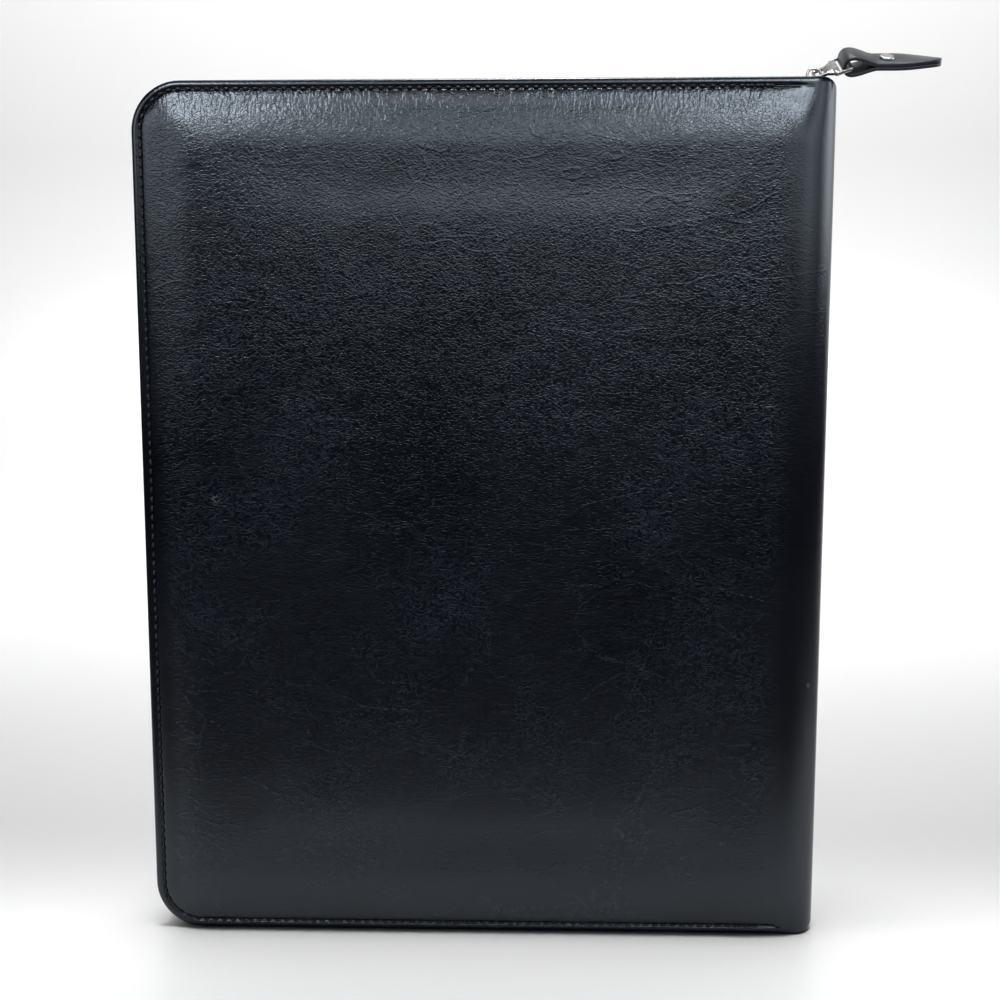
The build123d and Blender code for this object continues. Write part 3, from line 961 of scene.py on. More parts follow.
@dataclass(frozen=True)
class Rim:
    """U-shaped outline of a cover, from the spine along the top, down the fore edge and back along the foot.

    It has five parts: top run, upper corner, fore run, lower corner and bottom run. An inset draws it in, and
    the corners' radius shrinks by the inset down to a least radius.
    """

    fore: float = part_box("back_cover_skin")[0][0]
    height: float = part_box("back_cover_skin")[1][2]
    corner: float = 19.0 * MM
    least_corner: float = 5.0 * MM

    def radius(self, inset: Any) -> Any:
        """Radius of the corners at an inset."""
        return np.maximum(self.corner - inset, np.minimum(self.least_corner, self.height / 2 - inset))

    def lengths(self, inset: float, top_end: float, foot_end: float) -> np.ndarray:
        """Lengths of the five parts, between two ends near the spine.

        Args:
            inset: How far the outline is drawn in.
            top_end: X where the top run starts.
            foot_end: X where the bottom run ends.

        Returns:
            Five lengths.
        """
        radius = float(self.radius(inset))
        turn = self.fore + inset + radius
        arc = radius * math.pi / 2
        return np.array([top_end - turn, arc, self.height - 2 * inset - 2 * radius, arc, foot_end - turn])

    def stations(self, inset: float, distance: np.ndarray, top_end: float,
                 foot_end: float) -> tuple[np.ndarray, np.ndarray]:
        """Stations at distances along the outline.

        Args:
            inset: How far the outline is drawn in.
            distance: Distances from the start of the top run.
            top_end: X where the top run starts.
            foot_end: X where the bottom run ends.

        Returns:
            Part numbers, and shares of those parts.
        """
        ends = np.concatenate([[0.0], np.cumsum(self.lengths(inset, top_end, foot_end))])
        part = np.clip(np.searchsorted(ends, distance, side="right") - 1, 0, 4)
        return part, (distance - ends[part]) / np.diff(ends)[part]

    def points(self, inset: Any, part: np.ndarray, share: np.ndarray, top_end: float,
               foot_end: float) -> tuple[np.ndarray, np.ndarray]:
        """X and Z at an inset: straight runs between the ends and corners that are quarter circles.

        Args:
            inset: How far the outline is drawn in; may be an array that broadcasts with the stations.
            part: Part number per station.
            share: Share of that part per station.
            top_end: X where the top run starts.
            foot_end: X where the bottom run ends.

        Returns:
            Arrays of X and of Z.
        """
        inset, part, share = np.broadcast_arrays(inset, part, share)
        radius = self.radius(inset)
        left = self.fore + inset
        turn = left + radius
        top = self.height - inset
        bend = np.radians(90 * np.where(part == 1, 1 + share, 2 + share))
        choice = [part == 0, part == 1, part == 2, part == 3]
        x = np.select(choice, [top_end + (turn - top_end) * share, turn + radius * np.cos(bend), left,
                               turn + radius * np.cos(bend)], turn + (foot_end - turn) * share)
        fore_run = top - radius + (2 * inset + 2 * radius - self.height) * share
        z = np.select(choice, [top, top - radius + radius * np.sin(bend), fore_run,
                               inset + radius + radius * np.sin(bend)], inset)
        return x, z

    def tangents(self, part: np.ndarray, share: np.ndarray) -> np.ndarray:
        """Direction of travel at stations, as vectors in space.

        Args:
            part: Part number per station.
            share: Share of that part per station.

        Returns:
            One direction per station.
        """
        bend = np.radians(90 * np.select([part == 0, part == 1, part == 2, part == 3],
                                         [1.0 + 0 * share, 1 + share, 2.0 + 0 * share, 2 + share], 3.0))
        return np.stack([-np.sin(bend), 0 * bend, np.cos(bend)], -1)

    def spread(self, run_steps: int, corner_steps: int, fore_steps: int) -> tuple[np.ndarray, np.ndarray]:
        """Stations for a surface, with closer steps near the spine.

        Args:
            run_steps: Steps of the top run and of the bottom run.
            corner_steps: Steps of each corner.
            fore_steps: Steps of the fore run.

        Returns:
            Part numbers, and shares of those parts.
        """
        run = np.linspace(0, 1, run_steps, endpoint=False) ** 1.5
        counts = (run_steps, corner_steps, fore_steps, corner_steps)
        shares = [run, *(np.linspace(0, 1, n, endpoint=False) for n in counts[1:]), (1 - run)[::-1]]
        shares[4] = np.concatenate([[0.0], shares[4]])
        part = np.repeat(np.arange(5), [len(s) for s in shares])
        return part, np.concatenate(shares)


RIM = Rim()
SPINE_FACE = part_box("spine_skin")[1][0]
SPINE_RADIUS = 9.0 * MM
HALF_EDGE = 11.0 * MM
BEND_START = SPINE_FACE - SPINE_RADIUS
SEAM_X = BEND_START - 1.0 * MM
PLATEAU = -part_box("back_cover_skin")[0][1]
SKIN = 1.2 * MM
SPINE_SHEET = 0.8 * MM
LINING_LEVEL = -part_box("back_cover_lining")[1][1]
CROWN_INSET = 4.2 * MM
CROWN_SHOULDER = 22.0 * MM


@dataclass(frozen=True)
class SpineShoulder:
    """Outer line of a cover beside the spine: a full curve from the crown's flat into the spine's face."""

    reach: float = 26.0 * MM
    fall: float = PLATEAU - HALF_EDGE + SPINE_RADIUS
    power: float = 2.2

    def level(self, x: np.ndarray) -> np.ndarray:
        """Distance from the folio's middle: a quarter of a superellipse that ends on the spine's face."""
        share = np.clip((x - SPINE_FACE) / self.reach + 1, 0, 1)
        return PLATEAU - self.fall + self.fall * (1 - share ** self.power) ** (1 / self.power)

    @staticmethod
    def fullness(z: np.ndarray) -> np.ndarray:
        """Share of the crown at a height: a quarter sine wave in from the stitches at each end."""
        end = np.minimum(z, RIM.height - z)
        return np.sin(np.pi / 2 * np.clip((end - CROWN_INSET) / CROWN_SHOULDER, 0, 1))


SPINE_SHOULDER = SpineShoulder()


@dataclass
class Seam:
    """Row of lockstitches: each stitch is a short thread that bows up between two holes."""

    pitch: float = 3.65 * MM
    share: float = 0.68
    thread: float = 1.05 * MM
    bow: float = 0.3 * MM

    def stitch(self) -> np.ndarray:
        """One stitch along its first axis: a round section whose middle follows half a sine wave.

        Returns:
            Closed surface of one stitch.
        """
        step = np.linspace(-1, 1, 7)
        path = np.stack([step * self.pitch * self.share / 2, 0 * step,
                         self.bow * np.cos(step * np.pi / 2) - 0.5 * self.thread * np.abs(step) ** 3], -1)
        swell = np.sqrt(1 - 0.8 * np.abs(step) ** 4)
        return close_ends(sweep(path, ACROSS, UP, circle(self.thread / 2, 7), swell))

    def along(self, shell: Shell, places: np.ndarray, tangents: np.ndarray, outward: np.ndarray) -> Shell:
        """Adds a row of stitches.

        Args:
            shell: Shell that takes them.
            places: Middle of each stitch.
            tangents: Direction of each stitch.
            outward: Way out of the sewn face.

        Returns:
            The shell.
        """
        normal = np.broadcast_to(outward, tangents.shape)
        axes = np.stack([tangents, np.cross(normal, tangents), normal], axis=1)
        rows = np.linspace(0, self.pitch, 9)[:, None]
        return shell.repeat(self.stitch(), places, axes, rows)


# Covers and spine


@dataclass
class CoverLeather:
    """Padded skin of one cover, from the turned hem over the stitched flange to the crown."""

    side: Side
    hem: float = 8.0 * MM
    hem_level: float = HALF_EDGE - 2 * SKIN
    groove_inset: float = 3.35 * MM
    groove_depth: float = 0.8 * MM
    groove_width: float = 0.62 * MM
    roll: float = 2.6 * MM
    crown_inset: float = CROWN_INSET
    shoulder: float = CROWN_SHOULDER
    hem_rows: int = 7
    groove_fade: float = 11.0 * MM
    hold_stitches: float = 7.0 * MM
    hold_spine: float = 9.0 * MM
    settle_step: float = 3.2 * MM
    settle_limit: float = 0.4 * MM
    settle_frames: int = 20
    stitch_end: float = 24.0 * MM
    doubled: int = 3
    seam: Seam = field(default_factory=Seam)

    def crown(self, inset: np.ndarray, x: np.ndarray) -> np.ndarray:
        """Rise of the crown: a quarter sine wave from the stitches times the shoulder beside the spine."""
        share = np.clip((inset - self.crown_inset) / self.shoulder, 0, 1)
        return np.sin(np.pi / 2 * share) * (SPINE_SHOULDER.level(x) - HALF_EDGE)

    def inset_at(self, x: np.ndarray, z: np.ndarray) -> np.ndarray:
        """Distance in from the U-shaped rim, with the round corners taken into account.

        Args:
            x: X of the points.
            z: Z of the points.

        Returns:
            One distance per point.
        """
        side = x - RIM.fore
        end = np.minimum(z, RIM.height - z)
        corner = RIM.corner - np.hypot(np.minimum(side - RIM.corner, 0), np.minimum(end - RIM.corner, 0))
        return np.where((side < RIM.corner) & (end < RIM.corner), corner, np.minimum(side, end))

    @staticmethod
    def make_cloth(sheet: bpy.types.Object, held: np.ndarray) -> None:
        """Makes a sheet a stiff cloth that is blown up, with no gravity.

        Args:
            sheet: The sheet.
            held: Whether each of its points is held in place.
        """
        group = sheet.vertex_groups.new(name="stitched")
        group.add(np.flatnonzero(held.ravel()).tolist(), 1.0, "REPLACE")
        cloth = sheet.modifiers.new("settle", "CLOTH").settings
        cloth.quality = 4
        cloth.mass = 0.2
        cloth.tension_stiffness = 20
        cloth.compression_stiffness = 20
        cloth.bending_stiffness = 5.0
        cloth.vertex_group_mass = group.name
        cloth.use_pressure = True
        cloth.uniform_pressure_force = 0.6
        cloth.shrink_min = 0.0
        cloth.effector_weights.gravity = 0

    def settled(self) -> tuple[np.ndarray, np.ndarray, np.ndarray]:
        """Lets a sheet of cloth settle over the foam, held at the stitches and the spine.

        The sheet starts a little below the crown and is blown up. Its rise over the crown, less the median
        rise, is held to a limit by a hyperbolic tangent.

        Returns:
            X of the columns, Z of the rows, and the rise at each point.
        """
        left = RIM.fore + self.crown_inset
        columns = round((SEAM_X - left) / self.settle_step)
        rows = round((RIM.height - 2 * self.crown_inset) / self.settle_step)
        x = np.linspace(left, SEAM_X, columns)
        z = np.linspace(self.crown_inset, RIM.height - self.crown_inset, rows)
        flat_x, flat_z = np.meshgrid(x, z)
        inset = self.inset_at(flat_x, flat_z)
        start = 0.9 * self.crown(inset, flat_x) + 0.05 * MM * ripple(flat_x, flat_z, 45 * MM, 11)
        sheet = Shell("settling_sheet").add(np.stack([flat_x, -start, flat_z], -1)).build(weld=False)
        held = (inset < self.crown_inset + self.settle_step) | (flat_x > SEAM_X - self.settle_step)
        self.make_cloth(sheet, held)
        for step in range(1, self.settle_frames + 1):
            bpy.context.scene.frame_set(step)
        shape = sheet.evaluated_get(bpy.context.evaluated_depsgraph_get()).data
        moved = np.empty(3 * rows * columns)
        shape.vertices.foreach_get("co", moved)
        bpy.data.objects.remove(sheet)
        bpy.context.scene.frame_set(1)
        gain = -moved.reshape(rows, columns, 3)[..., 1] - self.crown(inset, flat_x)
        gain -= np.median(gain)
        LOG.info("cover cloth moved from %.2f to %.2f mm", gain.min() / MM, gain.max() / MM)
        return x, z, self.settle_limit * np.tanh(gain / self.settle_limit)

    def sections(self) -> tuple[np.ndarray, np.ndarray]:
        """Rows of the skin's section.

        The hem inside comes first, then a quarter circle to the rim, a longer quarter ellipse to the flange,
        the flange itself, and the crown.

        Returns:
            Inset and level of the rows.
        """
        half = (HALF_EDGE - self.hem_level) / 2
        turn = np.radians(np.linspace(90, 0, 5))
        roll = np.radians(np.linspace(0, 90, 8))[1:]
        flange = np.linspace(self.roll, self.crown_inset + 0.3 * MM, 14)[1:]
        rise = self.crown_inset + self.shoulder * np.linspace(0.1, 1, 18)
        middle = np.linspace(rise[-1], RIM.height / 2, 34)[1:]
        hem = np.array([self.hem, self.hem / 2])
        outside = np.concatenate([flange, rise, middle])
        inset = np.concatenate([hem, half * (1 - np.cos(turn)), self.roll * (1 - np.cos(roll)), outside])
        level = np.concatenate([np.full(len(hem), self.hem_level), self.hem_level + half * (1 - np.sin(turn)),
                                HALF_EDGE - half * (1 - np.sin(roll)), np.full(len(outside), HALF_EDGE)])
        return inset, level

    def groove(self, inset: np.ndarray, x: np.ndarray) -> np.ndarray:
        """Depth of the stitches' groove: a bell across the flange that fades towards the spine.

        Args:
            inset: Inset of each row.
            x: X of the points.

        Returns:
            One depth per point.
        """
        bell = self.groove_depth * np.exp(-(((inset - self.groove_inset) / self.groove_width) ** 2))
        outside = np.arange(len(inset))[:, None] > self.hem_rows
        return np.where(outside, bell, 0.0) * ease((SEAM_X - x - 1 * MM) / self.groove_fade)

    def skin(self, settled: tuple[np.ndarray, np.ndarray, np.ndarray]) -> bpy.types.Object:
        """Skin surface: rows of an inset and level carried along the rim, raised by the crown and the cloth.

        Args:
            settled: Columns, rows and rises of the settled sheet.

        Returns:
            The skin.
        """
        inset, level = self.sections()
        part, share = RIM.spread(95, 14, 100)
        x, z = RIM.points(inset[:, None], part[None], share[None], SEAM_X, SEAM_X)
        rises = self.crown(inset[:, None], x)
        inner = (inset > self.crown_inset)[:, None]
        columns, rows, gain = settled
        step_x = np.clip((x - columns[0]) / (columns[1] - columns[0]), 0, len(columns) - 1.001)
        step_z = np.clip((z - rows[0]) / (rows[1] - rows[0]), 0, len(rows) - 1.001)
        i, j = step_z.astype(int), step_x.astype(int)
        u, v = step_z - i, step_x - j
        soft = ((gain[i, j] * (1 - u) + gain[i + 1, j] * u) * (1 - v)
                + (gain[i, j + 1] * (1 - u) + gain[i + 1, j + 1] * u) * v)
        hold = ease((inset[:, None] - self.crown_inset) / self.hold_stitches)
        hold = hold * ease((SEAM_X - x) / self.hold_spine)
        soft = (soft + 0.05 * MM * ripple(x, z, 22 * MM, 5)) * hold
        level = level[:, None] - self.groove(inset[:, None], x)
        y = self.side.sign * (level + np.where(inner, rises + soft, 0.0))
        calm = 1 - ease((x - RIM.fore - 2 * MM) / (10 * MM)) * ease((SEAM_X - x) / (16 * MM))
        calm = np.maximum(calm, 1 - ease((inset[:, None] - 0.5 * MM) / (3 * MM)))
        surface = np.stack([x, y, z], -1)
        shell = Shell(f"{self.side.word}_cover_leather")
        return shell.add(surface, along=inset[:, None], across=calm).build()

    def stitches(self) -> bpy.types.Object:
        """Stitches at equal distances along the groove, some sewn double at each end.

        Returns:
            The stitches, as one piece.
        """
        end = SPINE_FACE - self.stitch_end
        total = RIM.lengths(self.groove_inset, end, end).sum()
        distance = np.arange(self.seam.pitch / 2, total, self.seam.pitch)
        back = np.concatenate([distance[:self.doubled], distance[-self.doubled:]]) + 0.4 * self.seam.pitch
        distance = np.concatenate([distance, np.minimum(back, total)])
        part, share = RIM.stations(self.groove_inset, distance, end, end)
        x, z = RIM.points(self.groove_inset, part, share, end, end)
        level = HALF_EDGE - 0.55 * self.groove_depth
        places = np.stack([x, np.full(x.shape, self.side.sign * level), z], -1)
        shell = Shell(f"{self.side.word}_cover_stitches")
        outward = np.array([0, self.side.sign, 0])
        return self.seam.along(shell, places, RIM.tangents(part, share), outward).build()

    def build(self, settled: tuple[np.ndarray, np.ndarray, np.ndarray]) -> None:
        """Builds and dresses the skin and its stitches.

        Args:
            settled: Columns, rows and rises of the settled sheet.
        """
        word = self.side.word
        skin = fit(self.skin(settled), COVER_LEATHER, self.side.body, "cover_leatherette",
                   f"{word}_cover_skin", f"{word}_cover_foam")
        fit(self.stitches(), BLACK_THREAD, self.side.body, "cover_leatherette")
        BOARD.dress(frame["nodes"][f"{word}_cover_board"])
        LOG.info("%s cover: skin and stitches", word)


@dataclass
class SpineLayer:
    """One layer of the spine, in two halves that meet at its middle, each bending across its own fold."""

    name: str
    node: str
    slot: str
    finish: Finish
    depth: float
    thickness: float
    end_inset: float
    end_drop: float = 0.0
    end_roll: float = 0.0
    drop_zone: float = 30.0 * MM
    calm: float = 0.9
    rows: int = 60

    def path(self, side: Side) -> tuple[np.ndarray, np.ndarray]:
        """Line across half of the spine, on its outer face: flat, quarter circle, flat to the middle.

        Args:
            side: Cover that the half starts from.

        Returns:
            Points and outward directions, as X and Y.
        """
        turn = np.radians(np.linspace(-90, 0, 22))
        middle = HALF_EDGE - SPINE_RADIUS
        arc = np.stack([BEND_START + SPINE_RADIUS * np.cos(turn), SPINE_RADIUS * np.sin(turn) - middle], -1)
        start = np.array([[SEAM_X, -HALF_EDGE], [(SEAM_X + BEND_START) / 2, -HALF_EDGE]])
        end = np.stack([np.full(4, SPINE_FACE), np.linspace(-middle, 0, 5)[1:]], -1)
        points = np.concatenate([start, arc, end])
        bend = np.stack([np.cos(turn), np.sin(turn)], -1)
        outward = np.concatenate([[[0, -1]] * len(start), bend, [[1, 0]] * len(end)])
        flip = np.array([1.0, -side.sign])
        return points * flip, outward * flip

    def section(self, length: float) -> np.ndarray:
        """Section of the layer: two straight faces between round ends.

        Each end is a quarter ellipse on the outer side and a quarter circle on the inner side.

        Args:
            length: Height of the layer.

        Returns:
            Height and depth of the section's points, in order.
        """
        half = self.thickness / 2
        inner = 0.1 * self.thickness if self.end_roll else half
        depth = self.thickness - inner
        roll = self.end_roll or depth
        turn = np.radians(np.linspace(0, 90, 8))
        rows = np.linspace(roll, length - roll, self.rows)[1:-1]
        end = np.concatenate([
            np.stack([roll * (1 - np.sin(turn)), -half + depth * (1 - np.cos(turn))], -1),
            np.stack([inner * (1 - np.cos(turn)), half - inner * (1 - np.sin(turn))], -1)[1:],
        ])
        return np.concatenate([
            np.stack([rows, np.full(rows.shape, -half)], -1),
            end * [-1, 1] + [length, 0],
            np.stack([rows[::-1], np.full(rows.shape, half)], -1),
            end[::-1],
        ])

    def half(self, side: Side) -> bpy.types.Object:
        """Half of the layer: its section carried along the path, lifted to the covers' shoulder.

        Args:
            side: Cover that the half starts from.

        Returns:
            The half.
        """
        points, outward = self.path(side)
        length = RIM.height - 2 * self.end_inset
        section = self.section(length)
        dip = self.end_drop * ease(np.linspace(-0.25, 1.0, len(points)))[:, None]
        height = section[None, :, 0]
        upper = ease((height - length + self.drop_zone) / self.drop_zone)
        squeeze = height - dip * upper + dip * ease(1 - height / self.drop_zone)
        inward = self.depth + self.thickness / 2 + section[None, :, 1]
        surface = np.empty((len(points), len(section), 3))
        surface[..., :2] = points[:, None] - inward[..., None] * outward[:, None]
        surface[..., 2] = self.end_inset + squeeze
        lift = np.maximum(SPINE_SHOULDER.level(points[:, 0]) - np.abs(points[:, 1]), 0.0)
        lift *= ease((SPINE_FACE - points[:, 0]) / (1 * MM))
        surface[..., 1] += side.sign * lift[:, None] * SPINE_SHOULDER.fullness(self.end_inset + height)
        shell = Shell(f"{self.name}_{side.word}").add(surface, wrap_columns=True, across=self.calm)
        piece = shell.build()
        self.finish.dress(piece)
        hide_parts(self.node)
        if side is Side.BACK:
            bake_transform(piece)
        else:
            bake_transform(piece)
        return piece

    def build(self) -> None:
        """Builds both halves."""
        for side in Side:
            LOG.info("spine: %s", self.half(side).name)


@dataclass
class CoverLining:
    """Lining sheet glued over the board inside one cover."""

    side: Side
    inset: float = 3.4 * MM
    wave: float = 0.06 * MM

    def build(self) -> None:
        """Surface of insets from the rim to the middle, at the lining's level with slow small waves."""
        near_rim = np.linspace(self.inset, 20 * MM, 9)
        inset = np.concatenate([near_rim, np.linspace(25 * MM, RIM.height / 2, 30)])
        part, share = RIM.spread(50, 10, 60)
        x, z = RIM.points(inset[:, None], part[None], share[None], BEND_START, BEND_START)
        y = self.side.sign * (LINING_LEVEL + self.wave * ripple(x, z, 40 * MM, 3))
        surface = np.stack([x, y, z], -1)
        shell = Shell(f"{self.side.word}_lining_cloth")
        shell.add(surface if self.side is Side.FRONT else surface[:, ::-1])
        node = f"{self.side.word}_cover_lining"
        piece = fit(shell.build(weld=False), LINING_CLOTH, self.side.body, "lining", node)
        LOG.info("%s lining", self.side.word)


# Zip


@dataclass
class ZipChain:
    """Tape, teeth and stop of one side of the zip."""

    side: Side
    top_end: float
    first_tooth: float
    foot_end: float = SEAM_X
    line: float = 3.0 * MM
    tape: float = 0.6 * MM
    tape_width: float = 7.6 * MM
    tape_level: float = HALF_EDGE - 2 * SKIN
    reach: float = 4.5 * MM
    bead: float = 0.5 * MM
    pitch: float = 3.4 * MM
    tooth_length: float = 3.0 * MM
    tooth_height: float = 2.4 * MM
    root: float = 2.2 * MM
    stop: float = 2.6 * MM

    def tape_piece(self) -> bpy.types.Object:
        """Tape: an L of thin cloth with a corded edge, carried along the rim.

        Returns:
            The tape.
        """
        half = self.tape / 2
        cord = np.radians(np.linspace(145, -145, 9) + 180)
        sewn_in = self.tape_level - 0.02 * MM
        sewn_out = self.tape_level - self.tape
        neck = self.reach + 3 * self.bead
        middle = self.reach + self.bead
        section = np.concatenate([
            [[self.tape_width, sewn_in], [self.line + self.tape, sewn_in]],
            [[self.line - half, sewn_in - half], [self.line - half, neck]],
            np.stack([self.line + self.bead * np.sin(cord), middle + self.bead * np.cos(cord)], -1),
            [[self.line + half, neck], [self.line + half, sewn_out], [self.tape_width, sewn_out]],
        ])
        part, share = RIM.spread(70, 12, 80)
        x, z = RIM.points(section[:, :1], part[None], share[None], self.top_end, self.foot_end)
        y = np.broadcast_to(self.side.sign * section[:, 1:], x.shape)
        surface = np.stack([x, y, z], -1).transpose(1, 0, 2)
        gone = lengths_along(surface[:, 0])
        along = np.concatenate([gone[:1], gone, gone[-1:]])[:, None]
        shell = Shell(f"{self.side.word}_tape_cloth")
        shell.add(close_ends(surface), wrap_columns=True, along=along, across=lengths_along(section))
        return shell.build(crease=50)

    def tooth(self) -> np.ndarray:
        """One tooth: rounded sections from the root over a waist to the head and its point.

        Returns:
            Closed surface of one tooth, in its own axes.
        """
        share = np.array([-0.08, 0.0, 0.38, 0.55, 0.8, 0.96, 1.0])
        width = np.array([0.9, 1.0, 0.86, 0.62, 0.74, 0.6, 0.36]) * self.root
        height = np.array([1.0, 1.0, 1.0, 0.86, 0.9, 0.8, 0.6]) * self.tooth_height
        ring = rounded_section(1.0, 1.0, 0.28, 1)
        surface = np.empty((len(share), len(ring), 3))
        surface[..., 0] = width[:, None] * ring[:, 0]
        surface[..., 1] = height[:, None] * ring[:, 1]
        surface[..., 2] = (share * self.tooth_length)[:, None]
        return close_ends(surface)

    def teeth(self) -> bpy.types.Object:
        """Teeth at equal distances along the zip's line, each seated on the corded edge.

        Returns:
            The row of teeth.
        """
        foot = self.foot_end - self.stop - self.root
        total = RIM.lengths(self.line, self.top_end, foot).sum()
        distance = np.arange(self.first_tooth, total, self.pitch)
        part, share = RIM.stations(self.line, distance, self.top_end, foot)
        x, z = RIM.points(self.line, part, share, self.top_end, foot)
        places = np.stack([x, np.full(x.shape, self.side.sign * self.reach), z], -1)
        tangent = RIM.tangents(part, share)
        inward = np.broadcast_to([0.0, -self.side.sign, 0.0], tangent.shape)
        axes = np.stack([tangent, np.cross(inward, tangent), inward], axis=1)
        shell = Shell(f"{self.side.word}_teeth_row").repeat(self.tooth(), places, axes)
        return shell.build(crease=45)

    def build(self) -> None:
        """Builds and dresses the tape and teeth, and dresses the stop."""
        word = self.side.word
        fit(self.tape_piece(), TAPE_CLOTH, self.side.body, "zip_tape", f"{word}_zip_tape")
        fit(self.teeth(), TOOTH_NYLON, self.side.body, "zip_teeth", f"{word}_zip_teeth")
        NICKEL.dress(frame["nodes"][f"{word}_zip_stop"])
        LOG.info("%s zip: tape, teeth and stop", word)


@dataclass
class Slider:
    """Zip slider: two flared wings with rims, the diamond between them and the crown for the pull."""

    plate: float = 1.2 * MM
    plate_round: float = 0.45 * MM
    corner: float = 2.4 * MM
    overlap: float = 0.2 * MM
    rim: float = 1.0 * MM
    rim_drop: float = 0.9 * MM
    rim_round: float = 0.3 * MM
    rim_reach: float = 0.36
    tail_share: float = 0.87
    bar: float = 1.0 * MM
    bar_round: float = 0.35 * MM
    crown_inner: float = 4.4 * MM
    crown_height: float = 4.6 * MM
    crown_width: float = 1.4 * MM
    crown_shift: float = 2.5 * MM
    crown_power: float = 0.55
    diamond: tuple[float, float] = (2.2 * MM, 1.0 * MM)
    diamond_round: float = 0.1 * MM
    diamond_shift: float = 3.2 * MM
    channel: float = 1.5 * MM

    def outline(self, length: float, width: float) -> np.ndarray:
        """Wing outline: a rounded rectangle that narrows towards the tail by a smooth share."""
        flat = rounded_section(length, width, self.corner, 5)
        return np.stack([flat[:, 0], flat[:, 1] * self.narrowing(flat[:, 0] / length)], -1)

    def narrowing(self, share: np.ndarray) -> np.ndarray:
        """Share of the full width left at a place along the slider, the tail's own share at its end."""
        return 1 - (1 - self.tail_share) * ease(0.5 + share)

    def thinned(self, y: np.ndarray, share: np.ndarray, width: float) -> np.ndarray:
        """Rim drawn in with the wing: its inner face stays clear of the teeth, its outer one follows.

        Args:
            y: Distances of the straight rim's points from the slider's middle.
            share: Their places along the slider, in lengths from its middle.
            width: Full width of the slider.

        Returns:
            The distances after thinning.
        """
        inner = width / 2 - self.rim
        return inner + (y - inner) * (width / 2 * self.narrowing(share) - inner) / self.rim

    def rim_bar(self, length: float, width: float, side: float, edge: float) -> np.ndarray:
        """One rim: a straight bar along an edge of a wing, thinned towards the tail.

        Args:
            length: Full length of the slider.
            width: Full width of the slider.
            side: Sign of the wing, upper or lower.
            edge: Sign of the wing's edge.

        Returns:
            Closed surface about the slider's middle.
        """
        step = np.linspace(-self.rim_reach, self.rim_reach, 9)
        level = side * (self.channel - self.rim_drop / 2 + self.overlap)
        path = np.stack([step * length, np.full(step.shape, edge * (width - self.rim) / 2),
                         np.full(step.shape, level)], -1)
        section = rounded_section(self.rim, self.rim_drop + 2 * self.overlap, self.rim_round, 2)
        bar = close_ends(sweep(path, ACROSS, UP, section))
        bar[..., 1] = edge * self.thinned(np.abs(bar[..., 1]), bar[..., 0] / length, width)
        return bar

    def crown(self) -> np.ndarray:
        """Crown: a bar bent along half a superellipse, with its ends sunk into the wing.

        Returns:
            Closed surface about the middle of the crown's foot.
        """
        turn = np.radians(np.linspace(0, 180, 17))
        reach = (self.crown_inner + self.bar) / 2
        rise = self.crown_height + self.bar / 2
        path = np.stack([reach * np.sign(np.cos(turn)) * np.abs(np.cos(turn)) ** self.crown_power, 0 * turn,
                         rise * np.sin(turn) ** self.crown_power], -1)
        path[[0, -1], 2] -= 2 * self.overlap
        tangent = unit(np.gradient(path, axis=0))
        section = rounded_section(self.crown_width, self.bar, self.bar_round, 2)
        return close_ends(sweep(path, ACROSS, np.cross(tangent, ACROSS), section))

    def build(self) -> None:
        """Places wings, rims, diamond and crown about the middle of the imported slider."""
        low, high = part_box("zip_slider")
        length, width = high[0] - low[0], high[1] - low[1]
        middle = np.array([(low[0] + high[0]) / 2, 0.0, low[2] + self.plate + self.channel])
        shell = Shell("slider_body")
        wing = plate(self.outline(length, width), self.plate, self.plate_round)
        for side in (1.0, -1.0):
            level = side * (self.channel + self.plate / 2)
            shell.add(wing + middle + [0, 0, level], wrap_columns=True)
            for edge in (1.0, -1.0):
                shell.add(self.rim_bar(length, width, side, edge) + middle, wrap_columns=True)
        long, wide = self.diamond
        corners = np.array([[long, 0], [0, wide], [-long, 0], [0, -wide]])
        diamond = plate(corners, 2 * (self.channel + self.overlap), self.diamond_round)
        shell.add(diamond + middle + [-self.diamond_shift, 0, 0], wrap_columns=True)
        shell.add(self.crown() + middle + [self.crown_shift, 0, self.channel + self.plate], wrap_columns=True)
        fit(shell.build(crease=50), NICKEL, "zip_slider", "pull_metal", "zip_slider")
        LOG.info("slider")


# Pull


def joint(name: str) -> dict[str, Any]:
    """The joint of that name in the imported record."""
    return next(j for j in frame["joints"] if j["name"] == name)


